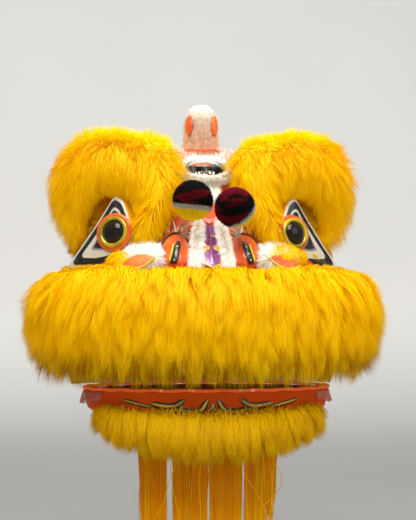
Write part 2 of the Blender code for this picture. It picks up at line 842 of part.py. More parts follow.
def build_nose():
    """Ridge with its purple front, crest, studs and the white strips at its sides.

    Returns the two strips and the crest as solids that their neighbours are cut by.
    """
    rings = []
    for z, pinch in ((NOSE_BOTTOM, 0.25), (NOSE_BOTTOM + NOSE_POINT, 1.0), (NOSE_TOP, 1.0)):
        half = nose_width(z) / 2 * pinch
        front = nose_front(z)
        back = front + NOSE_STAND + NOSE_FLARE
        foot = half + NOSE_FLARE / 2
        rings.append(
            np.array([(-foot, back, z), (-half, front, z), (half, front, z), (foot, back, z)])
        )
    ridge = place("nose_bridge", loft_mesh("nose_bridge", rings), purple, head)
    ridge_guard = guard_of(ridge)
    cut(ridge, shell_cutter)

    crest_at = Vector((0.0, nose_front(NOSE_TOP) - GAP, NOSE_TOP))
    half = CREST_WIDTH / 2
    v_outline = [(-half, CREST_HEIGHT), (0.0, 0.3 * GAP), (half, CREST_HEIGHT)]
    crest_matrix = facing(crest_at, 0.0, nose_slope())
    crest_mesh = block_mesh("nose_crest", v_outline, crest_matrix, 0.0, -CREST_DEPTH)
    crest = place("nose_crest", crest_mesh, orange, head)
    crest_guard = guard_of(crest)
    cut(crest, shell_cutter, ridge_guard)

    studs = (
        ("left", -STUD_SPREAD, STUD_Z, STUD_RADIUS),
        ("right", STUD_SPREAD, STUD_Z, STUD_RADIUS),
        ("top", TOP_STUD_X, TOP_STUD_Z, TOP_STUD_RADIUS),
    )
    stud_wells = []
    for label, x, z, radius in studs:
        matrix = facing(Vector((x, nose_front(z), z)), 0.0, nose_slope())
        profile = [(0.0, STUD_THICK), (0.8 * radius, STUD_THICK), (radius, 0.6 * STUD_THICK)]
        profile += [(radius, GAP), (0.0, GAP)]
        lathed("nose_stud_" + label, profile, matrix, stud_paint, head, steps=12)
        well_rows = [(radius + 2 * GAP, -GAP), (radius + 2 * GAP, NOSE_FUR_DEPTH)]
        well_mesh = turned_mesh("stud_well_" + label, well_rows, matrix, hollow=True)
        well = place("stud_well_" + label, well_mesh, None, None, cutter_group)
        stud_wells.append(hide_cutter(well))

    guards = []
    for label, side in (("left", -1), ("right", 1)):
        rings = []
        for share in np.linspace(0.0, 1.0, 7):
            z = NOSE_BOTTOM + share * (NOSE_TOP + 0.5 * NOSE_FUR_WIDTH - NOSE_BOTTOM)
            full = math.sqrt(max(0.04, 1.0 - (2.0 * share - 1.0) ** 4))
            across = side * (nose_width(z) / 2 + NOSE_FUR_WIDTH / 2)
            turn = np.linspace(0, 2 * math.pi, 8, endpoint=False)
            x = across + full * NOSE_FUR_WIDTH / 2 * np.cos(turn)
            y = nose_front(z) + 0.004 + full * NOSE_FUR_DEPTH / 2 * np.sin(turn)
            rings.append(np.stack([x, y, np.full(8, z)], 1))
        name = "nose_fur_" + label
        strip = place(name, loft_mesh(name, rings), white_fur, head)
        guards.append(guard_of(strip))
        cut(strip, shell_cutter, ridge_guard, crest_guard, *stud_wells)
    return guards, crest_guard


def wing_front(x, z):
    """Y of a nose wing's face at a place across, on the side of +x, and up."""
    size = (NOSTRIL_WIDTH, NOSTRIL_HEIGHT, NOSTRIL_STAND)
    return patch_front(x, z, NOSTRIL_X, NOSTRIL_Z, *size)


def build_nostril(label, side, strip_guard, trim_guard):
    """A nose wing and the dotted band that runs down it."""
    name = "nostril_" + label
    size = (NOSTRIL_WIDTH, NOSTRIL_HEIGHT, NOSTRIL_STAND)
    wing_mesh = shell_patch(name, side * NOSTRIL_X, NOSTRIL_Z, *size, steps=(12, 8))
    wing = place(name, wing_mesh, orange, head)
    wing_guard = guard_of(wing)
    cut(wing, shell_cutter, strip_guard, trim_guard)

    rings = []
    for share in np.linspace(-BAND_SHARE, 0.5, 7):
        z = NOSTRIL_Z + share * NOSTRIL_HEIGHT / 2
        middle = NOSTRIL_X - BAND_LEAN * (share + 0.2)
        rows = []
        for across in (-0.5, 0.5):
            x = middle + across * BAND_WIDTH
            rows.append((x, wing_front(x, z) - BAND_THICK, z))
        for across in (0.5, -0.5):
            x = middle + across * BAND_WIDTH
            rows.append((x, wing_front(x, z) + BAND_THICK, z))
        rings.append(np.array(rows) * (side, 1.0, 1.0))
    name = "nostril_band_" + label
    band = place(name, loft_mesh(name, rings), black_gloss, head)
    cut(band, wing_guard)
    return wing_guard


def build_pompom(label, side, at):
    """A ball of yarn, and the coil spring that carries it from the nose."""
    bpy.ops.mesh.primitive_uv_sphere_add(segments=12, ring_count=8, radius=POMPOM_RADIUS)
    ball = take_in(bpy.context.object, pompom_yarn, head)
    ball.name = "pompom_" + label
    ball.location = at
    seat_y = wing_front(SPRING_FOOT_X, SPRING_FOOT_Z)
    foot_x = side * SPRING_FOOT_X
    foot = Vector((foot_x, seat_y - SPRING_LIFT, SPRING_FOOT_Z))
    axis = Vector(at) - foot
    length = axis.length - POMPOM_RADIUS - SPRING_WIRE - GAP
    axis.normalize()
    ball.rotation_euler = (-axis).to_track_quat("Z", "Y").to_euler()
    across = axis.cross(Vector((0.0, 1.0, 0.0))).normalized()
    beside = axis.cross(across)
    route = [Vector((foot_x, seat_y - SPRING_WIRE - 2 * GAP, SPRING_FOOT_Z))]
    points = SPRING_TURN_POINTS * SPRING_TURNS
    for step in range(points + 1):
        turn = 2 * math.pi * step / SPRING_TURN_POINTS
        centre = foot + axis * length * step / points
        arm = across * math.cos(turn) + beside * math.sin(turn)
        route.append(centre + arm * SPRING_RADIUS)
    route.append(foot + axis * length)
    wire("pompom_spring_" + label, route, SPRING_WIRE, steel, head, resolution=0)


def face_elevation(z, reach):
    """Elevation in degrees of the shell's face in the middle, over a reach below and above z."""
    back = shell_front(0.0, z + reach) - shell_front(0.0, z - reach)
    return math.degrees(math.atan2(back, 2 * reach))


def build_forehead(horn_guards, crest_guard):
    """Mirror, its rim, the white fur that holds it, and the patch below."""
    mirror_z = SHELL_RIM_Z + SHELL_HEIGHT - MIRROR_BELOW_CROWN
    at = Vector((0.0, shell_front(0.0, mirror_z), mirror_z))
    tilt = face_elevation(mirror_z, MIRROR_RADIUS / 2) + MIRROR_LEAN
    matrix = facing(at, 0.0, tilt) @ Matrix.Translation((0.0, 0.0, MIRROR_STAND))
    glass_radius = MIRROR_RADIUS - MIRROR_RIM_WIRE - 2 * GAP
    glass = [(0.0, MIRROR_THICK)]
    glass += [(0.6 * glass_radius, 0.8 * MIRROR_THICK), (glass_radius, 0.4 * MIRROR_THICK)]
    glass += [(glass_radius, 0.0), (0.0, 0.0)]
    lathed("mirror_glass", glass, matrix, mirror, head)
    bpy.ops.mesh.primitive_torus_add(
        major_segments=18,
        minor_segments=5,
        major_radius=MIRROR_RADIUS,
        minor_radius=MIRROR_RIM_WIRE,
    )
    rim = take_in(bpy.context.object, steel, head)
    rim.name = "mirror_frame"
    rim.matrix_world = matrix @ Matrix.Translation((0.0, 0.0, MIRROR_RIM_WIRE))

    inside = MIRROR_RADIUS + MIRROR_RIM_WIRE + GAP
    ring = MIRROR_FUR_RADIUS
    profile = [
        (inside, -GAP),
        (inside, 0.35 * ring),
        (inside + 0.35 * ring, 0.75 * ring),
        (inside + 0.80 * ring, 0.50 * ring),
        (inside + ring, -0.30 * ring),
        (inside + 0.6 * ring, -MIRROR_FUR_ROOT),
    ]
    bed_mesh = turned_mesh("mirror_fur", profile, matrix, hollow=True)
    bed = place("mirror_fur", bed_mesh, white_fur, head)
    bed_guard = guard_of(bed)
    cut(bed, shell_cutter, *horn_guards, solver="MANIFOLD")

    patch_z = mirror_z - FOREHEAD_FUR_BELOW_MIRROR
    patch = (FOREHEAD_FUR_WIDTH, FOREHEAD_FUR_HEIGHT, FOREHEAD_FUR_STAND)
    patch_mesh = shell_patch("forehead_fur", 0.0, patch_z, *patch, steps=(12, 7))
    pad = place("forehead_fur", patch_mesh, white_fur, head)
    cut(pad, shell_cutter, bed_guard, crest_guard)

    well_rows = [(inside, -GAP), (inside, 2 * ring)]
    well_mesh = turned_mesh("mirror_well", well_rows, matrix, hollow=True)
    well = hide_cutter(place("mirror_well", well_mesh, None, None, cutter_group))
    return bed_guard, well


def turned_mesh(name, profile, matrix, sides=TURN_SIDES, hollow=False):
    """A closed turned body made as a mesh, so that it can be cut: radius and height rows.

    The flats of a hollow one clear the circle that the rows name.
    """
    turn = np.linspace(0, 2 * math.pi, sides, endpoint=False)
    spin = np.array(matrix)
    widen = 1.0 / math.cos(math.pi / sides) if hollow else 1.0
    rings = []
    for radius, z in profile:
        radius *= widen
        local = np.stack([radius * np.cos(turn), radius * np.sin(turn), np.full(sides, z)], 1)
        rings.append(local @ spin[:3, :3].T + spin[:3, 3])
    return loft_mesh(name, rings)


def build_horn():
    """A thumb-shaped horn, two leaves let into its sides, and the ribbon round its base."""
    matrix = Matrix.Translation((0.0, HORN_Y, 0.0))
    crown = SHELL_RIM_Z + SHELL_HEIGHT
    root = crown - HORN_ROOT
    top = crown + HORN_RISE
    dome = top - HORN_RADIUS
    profile = [(HORN_RADIUS * 0.98, root), (HORN_RADIUS, (root + dome) / 2)]
    for step in range(5):
        rise = math.radians(90.0 * step / 5)
        profile.append((HORN_RADIUS * math.cos(rise), dome + HORN_RADIUS * math.sin(rise)))
    profile.append((HORN_RADIUS * 0.08, top))
    horn = place("horn", turned_mesh("horn", profile, matrix), white_fur, head)
    horn_guard = guard_of(horn)
    cut(horn, shell_cutter)
    middle = dome - HORN_LEAF_BELOW_DOME
    for label, side in (("left", -1), ("right", 1)):
        turn = math.radians(HORN_LEAF_ANGLE)
        out = Vector((side * math.sin(turn), -math.cos(turn), 0.0))
        at = Vector((0.0, HORN_Y, middle)) + out * HORN_RADIUS
        leaf_matrix = facing(at, side * HORN_LEAF_ANGLE, 0.0) @ Matrix.Rotation(math.pi / 2, 4, "Z")
        outline = leaf_outline(HORN_LEAF_LENGTH, HORN_LEAF_WIDTH)
        name = "horn_leaf_" + label
        leaf = place(name, block_mesh(name, outline, leaf_matrix, 0.0015, -0.006), orange, head)
        cut(leaf, horn_guard)
    bpy.ops.mesh.primitive_torus_add(
        major_segments=16,
        minor_segments=5,
        major_radius=HORN_RADIUS + RIBBON_WIRE + 2 * GAP,
        minor_radius=RIBBON_WIRE,
    )
    ribbon = take_in(bpy.context.object, orange, head)
    ribbon.name = "horn_ribbon"
    ribbon.location = (0.0, HORN_Y, crown - RIBBON_BELOW_CROWN)
    ribbon.data.transform(Matrix.Translation(ribbon.location))
    ribbon.location = (0.0, 0.0, 0.0)
    ribbon_guard = guard_of(ribbon)
    cut(ribbon, shell_cutter)
    return horn_guard, ribbon_guard


def jaw_ring(outline, drop, sides=None):
    """Points round the jaw at a share of its rim's outline and of its depth."""
    count = sides or JAW_SIDES
    turn = np.linspace(0, 2 * math.pi, count, endpoint=False)
    x = JAW_HALF_WIDTH * outline * np.sin(turn)
    y = -(JAW_FRONT + JAW_REAR) / 2 - (JAW_FRONT - JAW_REAR) / 2 * outline * np.cos(turn)
    return np.stack([x, y, np.full(count, JAW_RIM_Z - JAW_DEPTH * drop)], 1)


def build_jaw():
    """Tray, binding and hinge eyes, and the solid that the jaw's soft pieces are cut by."""
    rings = [jaw_ring(outline, drop) for outline, drop in JAW_LEVELS]
    points = np.concatenate(rings + [rings[-1].mean(0)[None]])
    faces = loft_faces(len(rings), JAW_SIDES)
    last = (len(rings) - 1) * JAW_SIDES
    for side in range(JAW_SIDES):
        faces.append((last + side, last + (side + 1) % JAW_SIDES, len(points) - 1))
    open_mesh = mesh_of("jaw_tray", points, faces)
    tray = place("jaw_tray", open_mesh, painted, jaw)
    wall = tray.modifiers.new("Wall", "SOLIDIFY")
    wall.thickness = JAW_WALL
    wall.offset = -1.0
    lid = points[:JAW_SIDES].mean(0)[None]
    closed_faces = faces + [((side + 1) % JAW_SIDES, side, len(points)) for side in range(JAW_SIDES)]
    closed = mesh_of("jaw_cutter", np.concatenate([points, lid]), closed_faces)
    solid = swell(hide_cutter(place("jaw_cutter", closed, None, None, cutter_group)), GAP)

    rim = jaw_ring(1.0, 0.0) + (0.0, 0.0, BINDING_WIRE + GAP)
    route = [tuple(point) for point in rim]
    wire("jaw_binding", route, BINDING_WIRE, orange, jaw, closed=True, resolution=0)

    inner = BAR_RADIUS + HINGE_CLEARANCE
    outer = inner + HINGE_WALL
    for label, side in (("left", -1), ("right", 1)):
        at = Vector((side * HINGE_X, 0.0, 0.0))
        turn = Matrix.Translation(at) @ Matrix.Rotation(math.pi / 2, 4, "Y")
        name = "jaw_hinge_" + label
        half = HINGE_WIDTH / 2
        eye = place(name, turned_mesh(name, [(outer, -half), (outer, half)], turn), wood, jaw)
        arm_mesh = bpy.data.meshes.new("hinge_arm_" + label)
        work = bmesh.new()
        bmesh.ops.create_cube(work, size=1.0)
        work.to_mesh(arm_mesh)
        work.free()
        arm_length = (JAW_FRONT + JAW_REAR) / 2
        arm_top = JAW_RIM_Z - 4 * GAP
        arm_low = -outer - HINGE_WALL
        size = Matrix.Diagonal((0.9 * HINGE_WIDTH, arm_length, arm_top - arm_low, 1.0))
        arm_at = (side * HINGE_X, -arm_length / 2, (arm_top + arm_low) / 2)
        arm_mesh.transform(Matrix.Translation(arm_at) @ size)
        arm = hide_cutter(place("hinge_arm_" + label, arm_mesh, None, None, cutter_group))
        join = eye.modifiers.new("Arm", "BOOLEAN")
        join.operation = "UNION"
        join.object = arm
        bore_rows = [(inner, -2 * half), (inner, 2 * half)]
        bore_mesh = turned_mesh("hinge_bore_" + label, bore_rows, turn, hollow=True)
        bore = hide_cutter(place("hinge_bore_" + label, bore_mesh, None, None, cutter_group))
        cut(eye, bore, solid)
    return solid


def jaw_arc(angle, outline=0.965):
    """A point of the jaw's front wall in plan and its outward direction."""
    middle = (JAW_FRONT + JAW_REAR) / 2
    front = middle + (JAW_FRONT - JAW_REAR) / 2 * outline
    return arc_at(angle, JAW_HALF_WIDTH * outline, front, -middle)


def build_jaw_fur():
    """Fur band below the front wall, in locks, shorter and higher towards its ends."""
    stations = 2 * JAW_FUR_LOCKS + 1
    rings = []
    for station in range(stations):
        share = 2.0 * station / (stations - 1) - 1.0
        point, out = jaw_arc(JAW_FUR_REACH * share)
        full = station % 2
        swell_end = LIP_END_HEIGHT + (1.0 - LIP_END_HEIGHT) * round_end(share, JAW_FUR_END_SHARE)
        top = JAW_FUR_TOP + JAW_FUR_RISE * share * share
        bottom = JAW_FUR_BOTTOM * (1.0 - JAW_FUR_END_RISE * abs(share) ** 3)
        rows = []
        for outwards, height in JAW_FUR_SECTION:
            depth = JAW_FUR_DEPTH * outwards
            if outwards > 0.4:
                depth += JAW_FUR_DEPTH * LOCK_STAND * (full - 0.5)
                depth *= swell_end
            z = bottom + (top - bottom) * height
            if height < 0.3:
                z += (top - bottom) * lock_rise(station)
            z = top + (z - top) * (LIP_END_DEPTH + (1.0 - LIP_END_DEPTH) * swell_end)
            rows.append((*(point + out * depth), z))
        rings.append(np.array(rows))
    fur = place("jaw_fur", loft_mesh("jaw_fur", rings), yellow_fur, jaw)
    cut(fur, jaw_cutter)


def beard_line(x):
    """Y of the beard's curtain at a place across: a shallow bow inside the jaw's fur."""
    middle = JAW_FRONT - BEARD_INSET
    return -middle + BEARD_BOW * (2.0 * x / BEARD_WIDTH) ** 2


def build_beard():
    """A thin curtain of long strips fused to one band under the jaw."""
    top = JAW_RIM_Z - 0.7 * JAW_DEPTH
    length = top - BEARD_BOTTOM
    stations = []
    for middle, width, reach in BEARD_STRIPS:
        for offset, share in ((-0.5, None), (-0.34, 0.95), (0.20, 1.0), (0.5, None)):
            x = (middle + offset * width) * BEARD_WIDTH
            drop = length * reach * share if share else length * BEARD_BAND
            if stations and x - stations[-1][0] < 0.0015:
                continue
            stations.append((x, drop))
    rings = []
    for x, drop in stations:
        y = beard_line(x)
        half = BEARD_THICK / 2
        low = top - drop
        lean = 1.0 - BEARD_TAPER * drop / length
        rows = [
            (x, y - half, top),
            (x * lean, y - 0.3 * half, low),
            (x * lean, y + 0.3 * half, low),
            (x, y + half, top),
        ]
        rings.append(np.array(rows))
    beard = place("beard", loft_mesh("beard", rings), beard_hair, jaw)
    cut(beard, jaw_cutter)


def build_gauze(label, side):
    """A rumpled scrap of gauze round one end of the jaw, outside its wall."""
    rings = []
    for share in np.linspace(0.0, 1.0, 13):
        angle = GAUZE_START + share * (GAUZE_END - GAUZE_START)
        point, out = jaw_arc(angle, 1.0)
        wave = GAUZE_WAVE * (0.5 + 0.5 * math.sin(9.0 * share)) * math.sin(math.pi * share)
        top = JAW_RIM_Z - GAUZE_BELOW_RIM
        bow = math.sin(math.pi * share) ** 0.6
        low = top - GAUZE_DROP * (GAUZE_END_SHARE + (1.0 - GAUZE_END_SHARE) * bow)
        rows = []
        for outwards, z in (
            (-3 * GAUZE_THICK, top),
            (GAUZE_THICK, top),
            (GAUZE_THICK + wave, low),
            (wave, low),
        ):
            at = point + out * outwards
            rows.append((side * at[0], at[1], z))
        rings.append(np.array(rows))
    name = "corner_gauze_" + label
    cut(place(name, loft_mesh(name, rings), gauze, jaw), jaw_cutter)


bpy.context.preferences.edit.use_global_undo = False
for old in list(bpy.data.objects):
    bpy.data.objects.remove(old)

head_group = new_collection("lion_dance_head")
cutter_group = new_collection("cutters")

painted = finish_of("painted_paper", (0.78, 0.09, 0.03), 0.5)
panel = finish_of("eye_panel_paint", (0.82, 0.80, 0.72), 0.4)
yellow_fur = finish_of("yellow_fur", (0.95, 0.62, 0.01), 0.9)
white_fur = finish_of("white_fur", (0.86, 0.80, 0.74), 0.9)
orange = finish_of("orange_foil", (0.95, 0.20, 0.03), 0.35)
gold = finish_of("gold_rim", (0.72, 0.52, 0.04), 0.25)
black_gloss = finish_of("black_gloss", (0.01, 0.01, 0.01), 0.08)
wood = finish_of("wood", (0.52, 0.36, 0.18), 0.6)
purple = finish_of("purple_foil", (0.26, 0.03, 0.30), 0.25)
stud_paint = finish_of("stud_paint", (0.90, 0.62, 0.03), 0.3)
pompom_yarn = finish_of("pompom_yarn", (0.03, 0.01, 0.01), 0.95)
steel = finish_of("steel", (0.62, 0.62, 0.60), 0.3, 1.0)
mirror = finish_of("mirror", (0.90, 0.90, 0.90), 0.03, 1.0)
beard_hair = finish_of("beard_hair", (0.90, 0.42, 0.02), 0.6)
gauze = finish_of("gauze", (0.80, 0.28, 0.06), 0.7)

head = bpy.data.objects.new("head", None)
head_group.objects.link(head)
jaw = bpy.data.objects.new("jaw", None)
head_group.objects.link(jaw)

shell_cutter = build_shell()
build_hoop_and_bar()
build_lip()
strip_guards, crest_guard = build_nose()
horn_guards = build_horn()
forehead_guards = build_forehead(horn_guards, crest_guard)
for label, side, strip in (("left", -1, strip_guards[0]), ("right", 1, strip_guards[1])):
    eye_guards = build_eye(label, side)
    trim_guard = build_cheek(label, side, *eye_guards)
    wing_guard = build_nostril(label, side, strip, trim_guard)
    build_brow(label, side, *eye_guards, trim_guard, wing_guard, *forehead_guards)
build_pompom("left", -1, POMPOM_LEFT)
build_pompom("right", 1, POMPOM_RIGHT)

jaw_cutter = build_jaw()
build_jaw_fur()
build_beard()
build_gauze("left", -1)
build_gauze("right", 1)
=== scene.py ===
"""Looks of a southern lion dance head: shag fur, painted papier-mache, mirror, horn and hinged jaw."""

import math

import bpy
import numpy as np
from mathutils import Matrix


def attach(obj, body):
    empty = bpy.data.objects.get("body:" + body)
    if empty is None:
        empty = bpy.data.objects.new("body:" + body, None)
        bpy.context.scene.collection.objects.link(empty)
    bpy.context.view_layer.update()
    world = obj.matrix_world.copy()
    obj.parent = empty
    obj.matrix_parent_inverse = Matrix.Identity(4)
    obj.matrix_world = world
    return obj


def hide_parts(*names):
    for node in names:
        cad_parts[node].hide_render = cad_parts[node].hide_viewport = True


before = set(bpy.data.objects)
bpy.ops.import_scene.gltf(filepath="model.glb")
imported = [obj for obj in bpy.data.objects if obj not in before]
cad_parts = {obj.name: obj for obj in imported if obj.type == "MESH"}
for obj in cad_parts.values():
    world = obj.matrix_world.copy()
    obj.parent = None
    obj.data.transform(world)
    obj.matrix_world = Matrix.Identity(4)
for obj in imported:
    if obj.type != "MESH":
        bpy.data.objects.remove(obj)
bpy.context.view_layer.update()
scene = bpy.context.scene

# Camera, light and backdrop. The head hangs at the height of a dancer's hands in front of a
# pale seamless sheet, seen by a camera a little to its right that looks slightly up.
PHOTO_HEIGHT = 520
FOCAL_PIXELS = 1052.6
CAMERA_PLACE = (-0.198, -2.271, 0.146)
CAMERA_YAW = 5.4
CAMERA_PITCH = 2.72
FLOOR_HEIGHT = -0.475
FLOOR_FRONT = -3.6
WALL_PLACE = 4.2
WALL_BEND = 0.7
SHEET_HALF_WIDTH = 8.0
SHEET_TOP = 3.4
# Where the sheet's painted shade begins and where it is full, and how much nearness to the camera counts as
# height.
SHADE_START = 0.30
SHADE_END = -1.06
FLOOR_SLOPE = 0.25


def link(thing):
    scene.collection.objects.link(thing)
    return thing


lens = bpy.data.cameras.new("camera")
lens.sensor_fit = "VERTICAL"
lens.sensor_height = 36.0
lens.lens = FOCAL_PIXELS * lens.sensor_height / PHOTO_HEIGHT
camera = link(bpy.data.objects.new("camera", lens))
camera.location = CAMERA_PLACE
camera.rotation_euler = (math.radians(90 + CAMERA_PITCH), 0.0, math.radians(-CAMERA_YAW))
scene.camera = camera
scene.view_settings.view_transform = "Standard"


def area_light(name, place, target, size, power, colour):
    """A square soft light that looks at a target."""
    data = bpy.data.lights.new(name, "AREA")
    data.size = size
    data.energy = power
    data.color = colour
    light = link(bpy.data.objects.new(name, data))
    away = np.subtract(place, target)
    light.location = place
    light.rotation_euler = (
        math.acos(away[2] / np.linalg.norm(away)), 0.0, math.atan2(away[1], away[0]) + math.pi / 2
    )
    return light


area_light("key", (-0.25, -1.8, 2.9), (0.0, -0.1, 0.2), 1.8, 98.0, (1.0, 0.99, 0.96))
area_light("side", (1.9, -1.9, 1.6), (0.0, -0.1, 0.2), 1.8, 15.0, (0.96, 0.98, 1.0))
area_light("top", (0.1, -0.3, 2.9), (0.0, 0.0, 0.3), 1.6, 36.0, (1.0, 1.0, 1.0))

world = bpy.data.worlds.new("studio")
scene.world = world
world.use_nodes = True
world.node_tree.nodes["Background"].inputs["Color"].default_value = (0.86, 0.88, 0.90, 1.0)
world.node_tree.nodes["Background"].inputs["Strength"].default_value = 0.27


def add(tree, kind, inputs=None, **settings):
    """Add a node. Inputs maps a socket's name or number to a plain value or to another socket."""
    made = tree.nodes.new(kind)
    for key, value in settings.items():
        setattr(made, key, value)
    for key, value in (inputs or {}).items():
        if isinstance(value, bpy.types.NodeSocket):
            tree.links.new(value, made.inputs[key])
        else:
            made.inputs[key].default_value = value
    return made


def new_material(name, roughness=0.5, **sockets):
    """A material, its tree and its Principled shader, with plain values on the shader."""
    made = bpy.data.materials.new(name)
    made.use_nodes = True
    shader = made.node_tree.nodes["Principled BSDF"]
    shader.inputs["Roughness"].default_value = roughness
    for key, value in sockets.items():
        shader.inputs[key.replace("_", " ")].default_value = value
    return made, made.node_tree, shader


def calc(tree, operation, *values, clamp=False):
    """One step of arithmetic between sockets and numbers."""
    inputs = dict(enumerate(values))
    return add(tree, "ShaderNodeMath", inputs, operation=operation, use_clamp=clamp).outputs[0]


def between(tree, share, first, second):
    """Mix of two colours by a share from 0 to 1."""
    colours = [(*c, 1.0) if isinstance(c, tuple) and len(c) == 3 else c for c in (first, second)]
    inputs = {0: share, 6: colours[0], 7: colours[1]}
    return add(tree, "ShaderNodeMix", inputs, data_type="RGBA").outputs[2]


def step_up(tree, value, low, high):
    """Smooth rise from 0 to 1 between two levels of a value."""
    inputs = {0: value, 1: low, 2: high, 3: 0.0, 4: 1.0}
    node = add(tree, "ShaderNodeMapRange", inputs, interpolation_type="SMOOTHSTEP")
    return node.outputs[0]


def place_of(tree):
    return add(tree, "ShaderNodeTexCoord").outputs["Object"]


def axes_of(tree):
    """The three coordinates of object space."""
    return add(tree, "ShaderNodeSeparateXYZ", {0: place_of(tree)}).outputs


def strand_of(tree):
    """A point's UV pair: on fur the strand's tone and the way along it, on a plate round and out."""
    pair = add(tree, "ShaderNodeUVMap", uv_map="strand").outputs[0]
    return add(tree, "ShaderNodeSeparateXYZ", {0: pair}).outputs


def colour_with(tree, shader, colour, glow=False):
    """Link a colour to the shader, and to its glow too."""
    tree.links.new(colour, shader.inputs["Base Color"])
    if glow:
        tree.links.new(colour, shader.inputs["Emission Color"])


def noise(tree, scale, detail=3.0, stretch=(1.0, 1.0, 1.0), at=None, rough=0.5):
    """Noise over object space or over a given vector, stretched along axes."""
    spread = add(tree, "ShaderNodeVectorMath", {0: at or place_of(tree), 1: stretch}, operation="MULTIPLY")
    inputs = {"Vector": spread.outputs[0], "Scale": scale, "Detail": detail, "Roughness": rough}
    return add(tree, "ShaderNodeTexNoise", inputs).outputs[0]


def bump(tree, shader, height, strength, distance):
    made = add(tree, "ShaderNodeBump", {"Height": height, "Strength": strength, "Distance": distance})
    tree.links.new(made.outputs[0], shader.inputs["Normal"])


# The sheet glows with its own colour, which is painted light. It darkens towards the floor and the camera
# as painted shade for the less lit lower sheet.
sheet_material, tree, shader = new_material("backdrop_cloth", 0.9, Emission_Strength=0.57)
tint = between(tree, noise(tree, 1.3), (0.645, 0.635, 0.60), (0.695, 0.685, 0.65))
axis = axes_of(tree)
nearer = calc(tree, "MULTIPLY", calc(tree, "SUBTRACT", axis[1], WALL_PLACE - WALL_BEND), FLOOR_SLOPE)
rise = calc(tree, "ADD", axis[2], nearer)
tint = between(tree, step_up(tree, rise, SHADE_START, SHADE_END), tint, (0.265, 0.260, 0.247))
colour_with(tree, shader, tint, glow=True)

bend = np.linspace(0.0, math.pi / 2, 16)
profile = [(FLOOR_FRONT, FLOOR_HEIGHT)]
profile += list(zip(WALL_PLACE - WALL_BEND + WALL_BEND * np.sin(bend),
                    FLOOR_HEIGHT + WALL_BEND - WALL_BEND * np.cos(bend)))
profile.append((WALL_PLACE, SHEET_TOP))
rows = np.array([[(x, y, z) for x in (-SHEET_HALF_WIDTH, SHEET_HALF_WIDTH)] for y, z in profile])
backdrop_mesh = bpy.data.meshes.new("backdrop")
corner = np.arange(len(profile) - 1)[:, None] * 2
backdrop_mesh.from_pydata(rows.reshape(-1, 3), [], (corner + [0, 1, 3, 2]).tolist())
backdrop_mesh.shade_smooth()
backdrop = link(bpy.data.objects.new("backdrop", backdrop_mesh))
backdrop_mesh.materials.append(sheet_material)

SIDES = (("left", -1), ("right", 1))


def dress(pieces, body, node=None):
    """Hang the pieces on their body's empty and hide the CAD node that they stand for."""
    for piece in pieces:
        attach(piece, body)
        if node:
            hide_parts(node)



# Papier-mache shell: a bamboo frame covered with glued paper, lacquered red outside with painted
# flames and scales, bare brown paper inside. Modelled as one dome with a 3 mm wall.
GAP = 0.0003
SHELL_HALF_WIDTH = 0.290
SHELL_FRONT = 0.300
SHELL_REAR = 0.290
SHELL_HEIGHT = 0.505
SHELL_WALL = 0.003
SHELL_RIM = -0.008
SHELL_SQUARENESS = 2.3
MOUTH_TOP = 0.090
MOUTH_BACK = -0.062
SHELL_LEVELS = np.array([
    # height, width, front, rear
    (0.000, 0.950, 0.965, 0.935),
    (0.110, 0.985, 1.000, 0.985),
    (0.410, 0.985, 0.950, 1.000),
    (0.480, 0.955, 0.835, 0.985),
    (0.610, 0.905, 0.665, 0.915),
    (0.730, 0.865, 0.550, 0.810),
    (0.850, 0.800, 0.385, 0.640),
    (0.925, 0.670, 0.235, 0.450),
    (0.975, 0.410, 0.070, 0.240),
    (1.000, 0.000, -0.081, 0.084),
])


def mesh_object(name, points, quads, triangles, materials, uv=None, smooth=True):
    """A mesh from arrays of points and faces. UV rows belong to points."""
    mesh = bpy.data.meshes.new(name)
    quads = np.asarray(quads, np.int64).reshape(-1, 4)
    triangles = np.asarray(triangles, np.int64).reshape(-1, 3)
    corners = np.concatenate([quads.ravel(), triangles.ravel()])
    starts = np.concatenate([
        np.arange(len(quads)) * 4, len(quads) * 4 + np.arange(len(triangles)) * 3
    ])
    mesh.vertices.add(len(points))
    mesh.loops.add(len(corners))
    mesh.polygons.add(len(starts))
    mesh.vertices.foreach_set("co", np.asarray(points, np.float32).ravel())
    mesh.loops.foreach_set("vertex_index", corners.astype(np.int32))
    mesh.polygons.foreach_set("loop_start", starts.astype(np.int32))
    mesh.polygons.foreach_set("use_smooth", np.full(len(starts), smooth))
    if uv is not None:
        layer = mesh.uv_layers.new(name="strand")
        layer.data.foreach_set("uv", np.asarray(uv, np.float32)[corners].ravel())
    mesh.update(calc_edges=True)
    for made in materials:
        mesh.materials.append(made)
    return link(bpy.data.objects.new(name, mesh))


def grid_faces(rows, columns, round_columns=True, round_rows=False):
    """Quads over a grid of points stored row by row, closed round either way."""
    last_row = rows if round_rows else rows - 1
    last_column = columns if round_columns else columns - 1
    i, j = np.meshgrid(np.arange(last_row), np.arange(last_column), indexing="ij")
    below, beside = (i + 1) % rows, (j + 1) % columns
    return np.stack([
        i * columns + j, i * columns + beside, below * columns + beside, below * columns + j
    ], -1).reshape(-1, 4)


